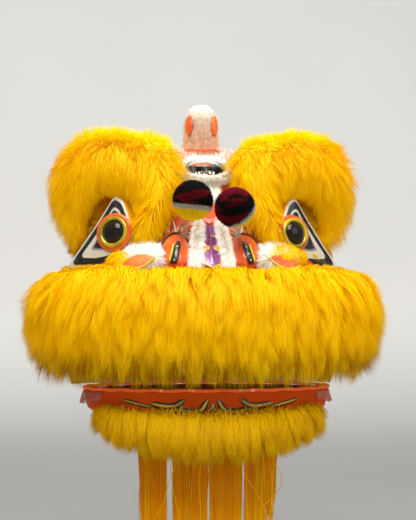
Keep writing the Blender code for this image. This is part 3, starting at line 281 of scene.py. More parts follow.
def grid_object(name, grid, materials, round_rows=False, uv=None):
    """A closed body over a grid of rings: quads between rings and a fan over each end."""
    rows, columns = grid.shape[:2]
    points = grid.reshape(-1, 3)
    quads = grid_faces(rows, columns, True, round_rows)
    triangles = np.zeros((0, 3), int)
    if not round_rows:
        points = np.concatenate([points, grid[0].mean(0)[None], grid[-1].mean(0)[None]])
        ring = np.arange(columns)
        after = (ring + 1) % columns
        last = (rows - 1) * columns
        first_cap = np.stack([np.full(columns, len(points) - 2), after, ring], 1)
        last_cap = np.stack([np.full(columns, len(points) - 1), last + ring, last + after], 1)
        triangles = np.concatenate([first_cap, last_cap])
        if uv is not None:
            flat = uv.reshape(-1, 2)
            uv = np.concatenate([flat, uv[0].mean(0)[None], uv[-1].mean(0)[None]])
    elif uv is not None:
        uv = uv.reshape(-1, 2)
    middle = points.mean(0)
    split = np.concatenate([quads[:, [0, 1, 2]], quads[:, [0, 2, 3]], triangles])
    a, b, c = (points[split[:, k]] - middle for k in range(3))
    if (a * np.cross(b, c)).sum() < 0:
        quads, triangles = quads[:, ::-1], triangles[:, ::-1]
    return mesh_object(name, points, quads, triangles, materials, uv)


def shell_level(z):
    """Half width, front and rear of the shell at a height, straight between its levels."""
    share = (z - SHELL_RIM) / SHELL_HEIGHT
    sizes = (SHELL_HALF_WIDTH, SHELL_FRONT, SHELL_REAR)
    return [np.interp(share, SHELL_LEVELS[:, 0], SHELL_LEVELS[:, k + 1]) * sizes[k] for k in range(3)]


def shell_front(x, z):
    """Depth of the shell's face: a squared ellipse at each height."""
    width, front, rear = shell_level(z)
    share = np.minimum(np.abs(x) / width, 1.0)
    reach = (1.0 - share**SHELL_SQUARENESS) ** (1.0 / SHELL_SQUARENESS)
    return (rear - front) / 2 - (rear + front) / 2 * reach


def eased(levels, at):
    """A smooth curve through the values of a list, by a cubic between neighbours."""
    low = np.clip(np.floor(at).astype(int), 0, len(levels) - 2)
    part = at - low
    slope = np.gradient(levels)
    first, second = levels[low], levels[low + 1]
    return (
        (2 * part**3 - 3 * part**2 + 1) * first + (part**3 - 2 * part**2 + part) * slope[low]
        + (3 * part**2 - 2 * part**3) * second + (part**3 - part**2) * slope[low + 1]
    )


def dome(inset):
    """Columns of points up the dome; those ahead of the mouth's back start at the mouth's top."""
    turn = np.concatenate([np.linspace(0, math.pi, 49)[:-1], np.linspace(math.pi, 2 * math.pi, 65)[:-1]])
    level = np.linspace(0.0, len(SHELL_LEVELS) - 1.0, 46)[:-1]
    height, width, front, rear = (
        eased(SHELL_LEVELS[:, k], level[:, None]) for k in range(4)
    )
    power = 2.0 / SHELL_SQUARENESS
    across = np.sign(np.cos(turn)) * np.abs(np.cos(turn)) ** power
    along = np.sign(np.sin(turn)) * np.abs(np.sin(turn)) ** power
    width = np.maximum(width * SHELL_HALF_WIDTH - inset, 0.0)
    deep = np.maximum((rear * SHELL_REAR + front * SHELL_FRONT) / 2 - inset, 0.0)
    x = width * across
    y = (rear * SHELL_REAR - front * SHELL_FRONT) / 2 + deep * along
    z = SHELL_RIM + SHELL_HEIGHT * height - inset * (height > 0.8) * (height - 0.8) / 0.2 + 0 * x
    rim_y = y[0]
    lift = np.where(rim_y < MOUTH_BACK, MOUTH_TOP - SHELL_RIM, 0.0)
    floor = SHELL_RIM + lift
    raised = np.maximum(z, floor + (z - SHELL_RIM) * 0.02)
    mouth_x = np.interp(raised, z[:, 0], np.arange(len(level)))
    rows = mouth_x.astype(int).clip(0, len(level) - 2)
    part = mouth_x - rows
    column = np.arange(len(turn))
    x = x[rows, column] * (1 - part) + x[rows + 1, column] * part
    y = y[rows, column] * (1 - part) + y[rows + 1, column] * part
    return np.stack([x, y, raised], -1)


outer, inner = dome(0.0), dome(SHELL_WALL)
rows, columns = outer.shape[:2]
points = np.concatenate([
    outer.reshape(-1, 3), inner.reshape(-1, 3), outer[-1].mean(0)[None] + (0, 0, 0.001),
    inner[-1].mean(0)[None],
])
quads = grid_faces(rows, columns)
count = rows * columns
ring = np.arange(columns)
after = (ring + 1) % columns
rim = np.stack([after, ring, count + ring, count + after], 1)
last = (rows - 1) * columns
crown = np.stack([last + ring, last + after, np.full(columns, 2 * count)], 1)
under = np.stack([count + last + after, count + last + ring, np.full(columns, 2 * count + 1)], 1)

lacquer, tree, shader = new_material("red_lacquer_paper", 0.5, Specular_IOR_Level=0.2)
axis = axes_of(tree)
turn = calc(tree, "ARCTAN2", axis[0], axis[1])
SCALES_ROUND = 40.0
SCALE_ROWS = 27.0
row_at = calc(tree, "MULTIPLY", axis[2], SCALE_ROWS)
row_number = calc(tree, "FLOOR", row_at)
shift = calc(tree, "MULTIPLY", calc(tree, "MODULO", row_number, 2.0), 0.5)
column_at = calc(tree, "ADD", calc(tree, "MULTIPLY", turn, SCALES_ROUND / (2 * math.pi)), shift)
across = calc(tree, "SUBTRACT", calc(tree, "FRACT", column_at), 0.5)
up = calc(tree, "FRACT", row_at)
squared = calc(tree, "POWER", calc(tree, "ABSOLUTE", across), 2.0)
arch = calc(tree, "ADD", up, calc(tree, "MULTIPLY", squared, 3.2))
edge = calc(tree, "ABSOLUTE", calc(tree, "SUBTRACT", arch, 0.86))
line = step_up(tree, edge, 0.13, 0.05)
gilt = step_up(tree, edge, 0.30, 0.16)
wear = noise(tree, 34.0, 4.0)
red = between(tree, noise(tree, 9.0), (0.55, 0.045, 0.012), (0.74, 0.11, 0.022))
scale_fill = between(tree, step_up(tree, up, 0.1, 0.9), red, (0.86, 0.20, 0.03))
scaled = between(tree, calc(tree, "MULTIPLY", gilt, 0.8), scale_fill, (0.80, 0.47, 0.05))
scaled = between(tree, line, scaled, (0.02, 0.012, 0.010))
behind = step_up(tree, axis[1], -0.03, 0.0)
face = between(tree, noise(tree, 16.0, 2.0), (0.58, 0.060, 0.006), (0.84, 0.150, 0.012))
paint = between(tree, behind, face, scaled)
paint = between(tree, step_up(tree, wear, 0.66, 0.74), paint, (0.60, 0.24, 0.09))
colour_with(tree, shader, paint)
bump(tree, shader, calc(tree, "ADD", wear, calc(tree, "MULTIPLY", line, -0.8)), 0.35, 0.0012)

bare_paper, tree, shader = new_material("bare_brown_paper", 0.85)
fibre = noise(tree, 60.0, 5.0)
patch = noise(tree, 11.0, 1.0)
colour_with(tree, shader, between(tree, patch, (0.34, 0.20, 0.10), (0.52, 0.35, 0.19)))
bump(tree, shader, calc(tree, "ADD", fibre, patch), 0.5, 0.001)

shell = mesh_object(
    "papier_mache_shell", points, np.concatenate([quads, rim, quads[:, ::-1] + count]),
    np.concatenate([crown, under]), [lacquer, bare_paper],
)
inside = np.zeros(len(shell.data.polygons), np.int32)
inside[len(quads) + len(rim):2 * len(quads) + len(rim)] = 1
inside[-len(under):] = 1
shell.data.polygons.foreach_set("material_index", inside)
dress([shell], "head", "head_shell")

# Hoop and hand bar: a bent cane hoop in the rim and the round dowel that the dancer holds.
# They are the plain wooden solids of the frame, with a long grain.
wood, tree, shader = new_material("cane_wood", 0.55)
grain = noise(tree, 30.0, 5.0, (0.25, 1.0, 4.0))
colour_with(tree, shader, between(tree, grain, (0.36, 0.20, 0.085), (0.62, 0.43, 0.22)))
bump(tree, shader, grain, 0.3, 0.0006)
for name in ("base_hoop", "hand_bar", "jaw_hinge_left", "jaw_hinge_right"):
    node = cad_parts[name]
    node.data.materials.clear()
    node.data.materials.append(wood)

# Upper lip: a thick roll of long yellow shag sewn round the mouth, combed out and down in locks.
# A foam roll carries tapered ribbon strands, each lock drawn together towards its tip.
LIP_HALF_WIDTH = 0.318
LIP_FRONT = 0.300
LIP_END = -0.085
LIP_REACH = 96.0
LIP_CORE_OUT = -0.004
LIP_CORE_DEPTH = 0.031
LIP_CORE_MIDDLE = 0.1440
LIP_CORE_HALF_HEIGHT = 0.0700
LIP_BLUNT = 0.30
LIP_STRANDS = 18800
LIP_LENGTH = 0.0625
ROOT_NORMAL_SHARE = 0.6
HEAD_AXIS_Y = 0.03


def unit(vectors):
    return vectors / np.maximum(np.linalg.norm(vectors, axis=-1, keepdims=True), 1e-9)


def normals_of(surface, u, v):
    """Outward unit normals and the area that a unit of u and v covers, from small steps."""
    step = 1e-3
    along = surface(u + step, v) - surface(u - step, v)
    across = surface(u, v + step) - surface(u, v - step)
    normal = np.cross(along, across)
    area = np.linalg.norm(normal, axis=-1)
    normal = unit(normal)
    point = surface(u, v)
    outwards = ((point - point.mean(0)) * normal).sum()
    return normal * np.sign(outwards), area


def scatter(surface, span, wanted, random):
    """Places spread evenly over the surface's area, by keeping each with its share of area."""
    (u_low, u_high), (v_low, v_high) = span
    u = random.uniform(u_low, u_high, wanted * 6)
    v = random.uniform(v_low, v_high, wanted * 6)
    area = normals_of(surface, u, v)[1]
    limit = np.quantile(area, 0.97)
    keep = np.nonzero(random.uniform(0, limit, len(u)) < area)[0][:wanted]
    return u[keep], v[keep]


def ribbons(name, path, normal, width, tone, twist, material, shoulder=0.0, shade=None):
    """Tapered ribbons along paths: two points a step, across the way and the normal, then a tip.

    Each faces away from the head's axis and is shaded mostly by the surface that it grows on, as
    deep fur is, through custom normals.
    """
    count, steps = path.shape[0], path.shape[1] - 1
    way = unit(np.gradient(path, axis=1))
    side = unit(np.cross(way, normal[:, None]))
    lift = np.cross(side, way)
    side = side * np.cos(twist)[:, None, None] + lift * np.sin(twist)[:, None, None]
    shade = normal if shade is None else shade
    face = np.cross(side, way)
    outwards = shade + unit((path[:, 0] - (0.0, HEAD_AXIS_Y, 0.0)) * (1.0, 1.0, 0.0))
    turn_over = np.sign((face.mean(1) * outwards).sum(-1))[:, None, None]
    side, face = side * turn_over, face * turn_over
    share = np.arange(steps) / steps
    taper = (1.0 - (1.0 - shoulder) * share**1.6) * width[:, None]
    offset = side[:, :-1] * taper[:, :, None] / 2
    pairs = np.stack([path[:, :-1] - offset, path[:, :-1] + offset], 2).reshape(count, -1, 3)
    points = np.concatenate([pairs, path[:, -1:]], 1)
    start = (np.arange(count) * (2 * steps + 1))[:, None]
    low = 2 * np.arange(steps - 1)
    quads = np.stack([start + low, start + low + 1, start + low + 3, start + low + 2], -1)
    tip = np.stack([start + 2 * steps - 2, start + 2 * steps - 1, start + 2 * steps], -1)
    along = np.append(np.repeat(share, 2), 1.0)
    uv = np.stack([np.repeat(tone[:, None], len(along), 1), np.repeat(along[None], count, 0)], -1)
    made = mesh_object(
        name, points.reshape(-1, 3), quads.reshape(-1, 4), tip.reshape(-1, 3), [material],
        uv.reshape(-1, 2),
    )
    soft = unit(ROOT_NORMAL_SHARE * shade[:, None] + (1 - ROOT_NORMAL_SHARE) * face)
    soft = np.concatenate([np.repeat(soft[:, :-1], 2, axis=1), soft[:, -1:]], 1)
    layer = made.data.attributes.new("custom_normal", "FLOAT_VECTOR", "POINT")
    layer.data.foreach_set("vector", soft.astype(np.float32).ravel())
    return made


def strand_paths(root, start, hang, length, steps, bend):
    """Running sum of short steps whose way turns from the start to the hang along the strand."""
    share = ((np.arange(steps) + 0.5) / steps)[None, :, None] ** bend
    way = unit((1 - share) * start[:, None] + share * hang[:, None])
    moves = way * (length / steps)[:, None, None]
    return np.concatenate([root[:, None], root[:, None] + np.cumsum(moves, 1)], 1)


def draw_together(path, lock, pull):
    """Each strand leans towards the mean path of its lock, more so towards the tip."""
    locks = lock.max() + 1
    total = np.zeros((locks, *path.shape[1:]))
    np.add.at(total, lock, path)
    mean = total / np.maximum(np.bincount(lock, minlength=locks), 1)[:, None, None]
    share = np.linspace(0, 1, path.shape[1])[None, :, None] ** 1.3
    return path + pull * share * (mean[lock] - path)


def fur(name, surface, span, wanted, locks, length, comb, material, width=0.0013, pull=0.30,
        steps=3, bend=0.6, clear=(), uneven=0.12, sway=0.13, seed=1):
    """Strands over a surface: locks is how many across u and v, comb gives start and hang."""
    random = np.random.default_rng(seed)
    u, v = scatter(surface, span, wanted, random)
    normal = normals_of(surface, u, v)[0]
    root = surface(u, v)
    (u_low, u_high), (v_low, v_high) = span
    a = (u - u_low) / (u_high - u_low) * locks[0]
    b = (v - v_low) / (v_high - v_low) * locks[1]
    a = a + 0.45 * np.sin(2.1 * b + seed) + random.normal(0, 0.22, len(u))
    b = b + 0.45 * np.sin(1.7 * a + 2 * seed) + random.normal(0, 0.22, len(u))
    lock = (np.floor(a).astype(int) + 2) * (locks[1] + 6) + np.floor(b).astype(int) + 2
    lock = np.clip(lock, 0, None)
    every = lock.max() + 1
    lock_length = random.uniform(1 - uneven, 1 + uneven, every)
    lock_way = random.normal(0, sway, (every, 3))
    lock_tone = random.uniform(0, 1, every)
    start, hang = comb(root, normal, u, v)
    start = unit(start + 0.6 * lock_way[lock] + random.normal(0, 0.09, root.shape))
    hang = unit(hang + lock_way[lock] + random.normal(0, 0.11, root.shape))
    reach = length(root, normal, u, v) if callable(length) else np.full(len(u), length)
    reach = reach * lock_length[lock] * random.uniform(0.80, 1.12, len(u))
    path = strand_paths(root, start, hang, reach, steps, bend)
    path = draw_together(path, lock, pull)
    keep = np.ones(len(u), bool)
    for centre, radius in clear:
        keep &= (np.linalg.norm(path - np.array(centre), axis=-1) > radius).all(1)
    tone = np.clip(0.55 * lock_tone[lock] + 0.45 * random.uniform(0, 1, len(u)), 0, 1)
    # Strands that face up get tones above one, which the material turns into its crest colour: painted
    # light on the top of the fur.
    crest = np.clip((normal[:, 2] - 0.25) / 0.7, 0, 1)
    tone = tone * (1 - crest) + (1 + crest) * crest
    twist = random.normal(0, 0.45, len(u))
    widths = width * random.uniform(0.7, 1.25, len(u))
    return ribbons(name, path[keep], normal[keep], widths[keep], tone[keep], twist[keep], material)


def core(name, surface, span, counts, material):
    """The body under the strands, a grid over the whole of the surface."""
    u = np.linspace(*span[0], counts[0])[:, None] + np.zeros((1, counts[1]))
    v = np.linspace(*span[1], counts[1], endpoint=False)[None] + np.zeros((counts[0], 1))
    grid = surface(u.ravel(), v.ravel()).reshape(*counts, 3)
    return grid_object(name, grid, [material])


# Shared by every fur: colour along a strand from root to tip, varied by the strand's own tone.
strand_colour = bpy.data.node_groups.new("strand colour", "ShaderNodeTree")
for socket in ("Root", "Middle", "Tip", "Shade", "Crest"):
    strand_colour.interface.new_socket(socket, in_out="INPUT", socket_type="NodeSocketColor")
strand_colour.interface.new_socket("Color", in_out="OUTPUT", socket_type="NodeSocketColor")
strand_colour.interface.new_socket("Roughness", in_out="OUTPUT", socket_type="NodeSocketFloat")
given = add(strand_colour, "NodeGroupInput").outputs
strand = strand_of(strand_colour)
lower = between(strand_colour, step_up(strand_colour, strand[1], 0.0, 0.42), given[0], given[1])
upper = between(strand_colour, step_up(strand_colour, strand[1], 0.35, 0.95), lower, given[2])
drift = noise(strand_colour, 14.0, 2.0)
dark = calc(strand_colour, "MULTIPLY", step_up(strand_colour, strand[0], 0.55, 0.0), 0.75)
dark = calc(strand_colour, "MULTIPLY", dark, step_up(strand_colour, drift, 0.30, 0.62))
final = between(strand_colour, dark, upper, given[3])
# Tones above one take the crest colour. On fur these are the strands that face up, as painted light on its
# top; on the beard they are a few bright strands.
final = between(strand_colour, step_up(strand_colour, strand[0], 0.95, 1.9), final, given[4])
rough = calc(strand_colour, "ADD", calc(strand_colour, "MULTIPLY", strand[0], 0.10), 0.42)
add(strand_colour, "NodeGroupOutput", {0: final, 1: rough})


def fur_material(name, root, middle, tip, shade, crest=None, hem=None, **sockets):
    """Fur whose strands run through three colours, with some locks shaded and a crest colour on the strands
    that face up, which is painted light on the top of the fur. The colour also drives the glow that an
    emission strength gives, which is painted light too.

    A hem is painted shade: a dark colour and the two heights between which it grows over the darker
    strands.
    """
    made, tree, shader = new_material(name, 0.5, Specular_IOR_Level=0.06, **sockets)
    colours = {k: (*colour, 1.0) for k, colour in enumerate((root, middle, tip, shade, crest or tip))}
    group = add(tree, "ShaderNodeGroup", node_tree=strand_colour)
    for k, colour in colours.items():
        group.inputs[k].default_value = colour
    final = group.outputs[0]
    # The hem darkens the darker strands below a height: painted shade.
    if hem:
        dark, low, high = hem
        darker = step_up(tree, strand_of(tree)[0], 0.70, 0.25)
        share = calc(tree, "MULTIPLY", step_up(tree, axes_of(tree)[2], high, low), darker)
        final = between(tree, share, final, dark)
    colour_with(tree, shader, final, glow=True)
    tree.links.new(group.outputs[1], shader.inputs["Roughness"])
    return made


def plush_backing(name, dark, light):
    """The woven backing and matted underfur that shows between strands."""
    made, tree, shader = new_material(name, 0.85, Sheen_Weight=0.2)
    mat = noise(tree, 120.0, 3.0, (1.0, 1.0, 0.15))
    colour_with(tree, shader, between(tree, mat, dark, light))
    bump(tree, shader, mat, 0.8, 0.002)
    return made


YELLOW_TIP = (1.00, 0.66, 0.001)
YELLOW = (1.00, 0.64, 0.001)
GOLD_ROOT = (1.00, 0.63, 0.001)
GOLD_SHADE = (0.98, 0.60, 0.001)
# Colours for strands that face up: painted light on the top of the lip and of the brows.
YELLOW_LIT_TOP = (0.92, 0.60, 0.001)
BROW_LIT_TOP = (1.00, 0.82, 0.004)
# The yellow and lip shags glow with their own colour: painted light.
yellow_fur = fur_material(
    "yellow_shag", GOLD_ROOT, YELLOW, YELLOW_TIP, GOLD_SHADE, YELLOW_LIT_TOP, Emission_Strength=0.10,
)
# Painted shade under the lip roll: its dark colour and the heights between which it grows.
LIP_UNDER_SHADE = ((0.42, 0.15, 0.001), 0.020, 0.085)
lip_fur = fur_material(
    "lip_shag", GOLD_ROOT, YELLOW, YELLOW_TIP, GOLD_SHADE, YELLOW_LIT_TOP, LIP_UNDER_SHADE, Emission_Strength=0.10,
)
# The brows' copy of the shag glows more and takes a paler top: painted light.
brow_fur = fur_material(
    "brow_shag", GOLD_ROOT, YELLOW, YELLOW_TIP, GOLD_SHADE, BROW_LIT_TOP, Emission_Strength=0.14,
)
# The chin's copy of the shag is darker, which is painted shade under the lip and the jaw. It has a paler
# top and a faint glow, both painted light.
chin_shaded_fur = fur_material(
    "chin_shag", (0.74, 0.41, 0.001), (0.76, 0.42, 0.001), (0.80, 0.46, 0.001), (0.58, 0.31, 0.001),
    (0.88, 0.54, 0.001), Emission_Strength=0.05,
)
yellow_backing = plush_backing("yellow_backing", (0.95, 0.58, 0.001), (1.00, 0.66, 0.001))


def arc_at(angle, half_width, front, end):
    """Plan of the arc at angles from the front in degrees, and its outward way."""
    turn = np.radians(angle)
    depth = front + end
    point = np.stack([half_width * np.sin(turn), end - depth * np.cos(turn), 0 * turn], -1)
    out = np.stack([depth * np.sin(turn), -half_width * np.cos(turn), 0 * turn], -1)
    return point, unit(out)


def lip_surface(u, v):
    """Oval section carried round the mouth's arc; it closes as a rounded lobe at each end."""
    share = np.abs(u)
    beyond = np.maximum(0.0, (share - (1 - LIP_BLUNT)) / LIP_BLUNT)
    full = np.sqrt(np.maximum(0.0, 1.0 - beyond**2.4)) * 0.92 + 0.08
    point, out = arc_at(LIP_REACH * u, LIP_HALF_WIDTH, LIP_FRONT, LIP_END)
    turn = 2 * math.pi * v
    swell = 1.0 + 0.035 * np.sin(31.0 * u) + 0.025 * np.sin(57.0 * u + 1.0)
    offset = LIP_CORE_OUT + LIP_CORE_DEPTH * np.cos(turn) * full * swell
    z = LIP_CORE_MIDDLE + LIP_CORE_HALF_HEIGHT * np.sin(turn) * full * (0.5 + 0.5 * swell)
    return point + out * offset[..., None] + np.stack([0 * z, 0 * z, z], -1)


DOWN = np.array([0.0, 0.0, -1.0])


def lip_comb(root, normal, u, v):
    """Out from the roll, then hanging; towards the ends the fur stands out sideways."""
    end = np.clip((np.abs(u) - 0.66) / 0.30, 0, 1)[:, None]
    out = arc_at(LIP_REACH * u, LIP_HALF_WIDTH, LIP_FRONT, LIP_END)[1]
    above = np.clip(normal[:, 2:], 0, 1)
    start = normal * (0.45 + 0.5 * above) + out * 0.25 + DOWN * 0.55 * (1 - above)
    hang = DOWN * (1.0 - 0.45 * end) + out * (0.05 + 0.40 * above) + normal * (0.08 + 0.60 * end)
    return start, hang


def lip_length(root, normal, u, v):
    """Shorter on top of the roll and under it, so that the tips end in one hem."""
    low = np.clip((0.115 - root[:, 2]) / 0.06, 0, 1)
    top = np.clip((normal[:, 2] - 0.3) / 0.7, 0, 1)
    end = np.clip((np.abs(u) - 0.70) / 0.30, 0, 1)
    flatter = np.clip((-0.40 - u) / 0.2, 0, 1)
    return LIP_LENGTH * (1.0 + 0.34 * low) * (1.0 - (0.25 + 0.30 * flatter) * top) * (1.0 - 0.30 * end)


lip_core = core("lip_roll", lip_surface, ((-1, 1), (0, 1)), (120, 40), yellow_backing)
lip_spans = (("right_cheek", (-1.0, -0.36)), ("middle", (-0.36, 0.36)), ("left_cheek", (0.36, 1.0)))
lip_pieces = [lip_core]
for number, (label, across) in enumerate(lip_spans):
    lip_pieces.append(fur(
        "lip_shag_" + label, lip_surface, (across, (-0.33, 0.36)), LIP_STRANDS, (26, 9),
        lip_length, lip_comb, lip_fur, pull=0.45, uneven=0.17, seed=11 + number,
    ))
dress(lip_pieces, "head", "lip_fur")

# Eyes: a painted panel on a raised block, with an orange ring, a gold rim and a glossy black ball.
# The panel's bands follow its own pointed outline; ring, rim and ball are turned shapes.
EYE_X = 0.180
EYE_Z = 0.300
EYE_STAND = 0.026
EYE_YAW = 28.0
EYE_LEAN = 8.0
EYE_PANEL_HEIGHT = 0.160
EYE_PANEL_WIDTH = 0.150
EYE_PANEL_DEPTH = 0.080
EYE_RING_RADIUS = 0.039
EYE_RIM_RADIUS = 0.0275
EYE_RIM_WIRE = 0.0046
EYEBALL_BULGE = 0.0146
EYE_DRIFT = 0.007
EYE_OUTLINE = np.array([
    # across, up
    (-0.06, 0.50),
    (-0.24, 0.21),
    (-0.46, -0.10),
    (-0.74, -0.46),
    (-0.40, -0.48),
    (-0.15, -0.44),
    (0.11, -0.36),
    (0.23, -0.22),
    (0.26, -0.02),
    (0.18, 0.22),
    (0.08, 0.42),
])


def facing(at, yaw, elevation):
    """Matrix of a piece whose +Z looks outwards, by yaw from the front and elevation."""
    turn = Matrix.Rotation(math.radians(yaw), 4, "Z")
    tip = Matrix.Rotation(math.radians(90.0 - elevation), 4, "X")
    return np.array(Matrix.Translation(at) @ turn @ tip)


def moved(points, matrix):
    return points @ matrix[:3, :3].T + matrix[:3, 3]


def turned(name, profile, matrix, materials, sides=48, closed=False):
    """A profile of radius and height carried round the local Z axis."""
    profile = np.array(profile)
    turn = np.linspace(0, 2 * math.pi, sides, endpoint=False)
    x = profile[:, :1] * np.cos(turn)
    y = profile[:, :1] * np.sin(turn)
    z = profile[:, 1:] + 0 * x
    grid = moved(np.stack([x, y, z], -1), matrix)
    return grid_object(name, grid, materials, round_rows=closed)


def circle(middle, height, radius, count=12):
    """Rows of a round wire's section for a turned ring."""
    turn = np.linspace(0, 2 * math.pi, count, endpoint=False)
    return np.stack([middle + radius * np.cos(turn), height + radius * np.sin(turn)], 1)


def smooth_loop(corners, count, tight=0.35):
    """A closed curve near an outline: its corners are cut twice, then it is resampled evenly."""
    for _ in range(3):
        after = np.roll(corners, -1, 0)
        cut = [corners * (1 - tight / 2) + after * tight / 2, corners * tight / 2 + after * (1 - tight / 2)]
        corners = np.stack(cut, 1).reshape(-1, corners.shape[1])
    closed = np.concatenate([corners, corners[:1]])
    run = np.append(0, np.cumsum(np.linalg.norm(np.diff(closed, axis=0), axis=1)))
    at = np.linspace(0, run[-1], count, endpoint=False)
    return np.stack([np.interp(at, run, closed[:, k]) for k in range(corners.shape[1])], 1)


eye_paint, tree, shader = new_material("eye_panel_paint", 0.32, Coat_Weight=0.35)
strand = strand_of(tree)
waver = calc(tree, "MULTIPLY", calc(tree, "SUBTRACT", noise(tree, 30.0, 2.0), 0.5), 0.035)
out_to = calc(tree, "ADD", strand[1], waver)
brushed = noise(tree, 90.0, 3.0, (1.0, 1.0, 0.3))
cream = between(tree, brushed, (0.62, 0.60, 0.47), (0.78, 0.77, 0.66))
coal = between(tree, step_up(tree, brushed, 0.55, 0.75), (0.012, 0.012, 0.013), (0.10, 0.10, 0.10))
pale = between(tree, brushed, (0.62, 0.61, 0.52), (0.76, 0.75, 0.69))
lash = calc(tree, "SINE", calc(tree, "MULTIPLY", strand[0], 330.0))
lash = calc(tree, "MULTIPLY", step_up(tree, lash, 0.35, 0.75), step_up(tree, out_to, 0.40, 0.43))
lash = calc(tree, "MULTIPLY", lash, step_up(tree, out_to, 0.495, 0.47))
lash = calc(tree, "MULTIPLY", lash, step_up(tree, strand[0], 0.26, 0.30))
lash = calc(tree, "MULTIPLY", lash, step_up(tree, strand[0], 0.60, 0.54))
apex = step_up(tree, calc(tree, "ABSOLUTE", calc(tree, "SUBTRACT", strand[0], 0.5)), 0.20, 0.44)
inner_edge = calc(tree, "SUBTRACT", out_to, calc(tree, "MULTIPLY", apex, 0.12))
paint = between(tree, step_up(tree, inner_edge, 0.46, 0.48), coal, cream)
paint = between(tree, lash, paint, (0.80, 0.80, 0.76))
paint = between(tree, step_up(tree, out_to, 0.66, 0.68), paint, coal)
paint = between(tree, step_up(tree, out_to, 0.86, 0.885), paint, pale)
paint = between(tree, step_up(tree, strand[1], 0.968, 0.985), paint, (0.86, 0.53, 0.004))
colour_with(tree, shader, paint)
bump(tree, shader, brushed, 0.2, 0.0006)

orange_foil, tree, shader = new_material("orange_foil_paper", 0.34, Coat_Weight=0.3)
crinkle = noise(tree, 75.0, 4.0)
blotch = step_up(tree, noise(tree, 22.0, 2.0), 0.35, 0.7)
orange = between(tree, blotch, (0.86, 0.105, 0.012), (1.0, 0.24, 0.035))
speck = step_up(tree, noise(tree, 420.0, 1.0), 0.66, 0.74)
colour_with(tree, shader, between(tree, speck, orange, (1.0, 0.55, 0.25)))
tree.links.new(
    calc(tree, "ADD", calc(tree, "MULTIPLY", crinkle, 0.3), 0.2), shader.inputs["Roughness"]
)
bump(tree, shader, crinkle, 0.35, 0.0008)

gold_rim, tree, shader = new_material("gold_enamel", 0.22, Coat_Weight=0.6, Coat_Roughness=0.08)
streak = noise(tree, 26.0, 3.0)
streaks = between(tree, step_up(tree, streak, 0.3, 0.7), (0.36, 0.25, 0.008), (0.84, 0.62, 0.03))
colour_with(tree, shader, streaks)
tree.links.new(calc(tree, "MULTIPLY", streak, 0.5), shader.inputs["Metallic"])

black_gloss, tree, shader = new_material(
    "black_eye_lacquer", 0.06, Coat_Weight=0.15, Coat_Roughness=0.02, Specular_IOR_Level=0.25
)
depth = noise(tree, 40.0, 2.0)
colour_with(tree, shader, between(tree, depth, (0.004, 0.004, 0.004), (0.030, 0.021, 0.014)))
tree.links.new(
    calc(tree, "ADD", calc(tree, "MULTIPLY", depth, 0.10), 0.02), shader.inputs["Roughness"]
)

eye_places = {}
for label, side in SIDES:
    eye_at = (side * EYE_X, float(shell_front(EYE_X, EYE_Z)) - EYE_STAND, EYE_Z)
    matrix = facing(eye_at, side * EYE_YAW, EYE_LEAN)
    panel_matrix = matrix.copy()
    panel_matrix[0, 3] -= EYE_DRIFT if side < 0 else 0.0
    matrix[0, 3] -= EYE_DRIFT
    eye_places[label] = moved(np.array([[0.0, 0.0, 0.012]]), matrix)[0]
    outline = smooth_loop(EYE_OUTLINE * (EYE_PANEL_WIDTH, EYE_PANEL_HEIGHT), 120) * (-side, 1.0)
    shares = [0.02, 0.3, 0.44, 0.50, 0.56, 0.64, 0.72, 0.80, 0.87, 0.93, 0.965, 0.985, 0.99, 0.99]
    depths = [0.0, 0, 0, 0, -0.0004, -0.0008, -0.0012, -0.0018, -0.0026, -0.0034, -0.0046, -0.007,
              -0.4 * EYE_PANEL_DEPTH, -0.62 * EYE_PANEL_DEPTH]
    grid = np.array([
        np.column_stack([outline * share, np.full(len(outline), depth)])
        for share, depth in zip(shares, depths)
    ])
    round_at = np.arange(len(outline)) / len(outline)
    outwards = np.array(shares[:-2] + [1.03, 1.04])
    uv = np.stack([
        np.repeat(round_at[None], len(shares), 0), np.repeat(outwards[:, None], len(outline), 1)
    ], -1)
    panel = grid_object("eye_panel_" + label, moved(grid, panel_matrix), [eye_paint], uv=uv)
    ring_inside = EYE_RIM_RADIUS + 0.4 * EYE_RIM_WIRE
    ring = turned("eye_orange_ring_" + label, [
        (ring_inside, 0.0004), (ring_inside, 0.0042), (0.94 * EYE_RING_RADIUS, 0.0036),
        (EYE_RING_RADIUS, 0.0020), (EYE_RING_RADIUS, 0.0004),
    ], matrix, [orange_foil], 64, closed=True)
    rim = turned(
        "eye_gold_rim_" + label, circle(EYE_RIM_RADIUS, EYE_RIM_WIRE, EYE_RIM_WIRE), matrix,
        [gold_rim], 64, closed=True,
    )
    ball_radius = EYE_RIM_RADIUS - 0.75 * EYE_RIM_WIRE
    rise = np.radians(np.linspace(4.0, 90.0, 14))
    ball_rows = [(ball_radius * math.sin(a), 0.001 + EYEBALL_BULGE * math.cos(a)) for a in rise]
    ball = turned("eyeball_dome_" + label, ball_rows + [(ball_radius, 0.0003)], matrix, [black_gloss], 64)
    for piece, node, slot in (
        (panel, "eye_plate_", "eye_panel"), (ring, "eye_ring_", "orange_foil"),
        (rim, "eye_rim_", "gold_rim"), (ball, "eyeball_", "black_gloss"),
    ):
        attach(piece, "head")
        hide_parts(node + label)


def pad_surface(centre_x, centre_z, width, height, stand):
    """A patch of the shell's face, domed outwards as an ellipsoid by its stand."""
    def surface(u, v):
        turn = 2 * math.pi * v
        rise = np.sin(np.pi * (u - 0.5))
        reach = np.cos(np.pi * (u - 0.5))
        x = centre_x + width / 2 * reach * np.cos(turn)
        z = centre_z + height / 2 * rise
        y = shell_front(x, z) - stand * reach * np.sin(turn) * (np.sin(turn) > 0)
        return np.stack([x, y + 0.004, z], -1)
    return surface


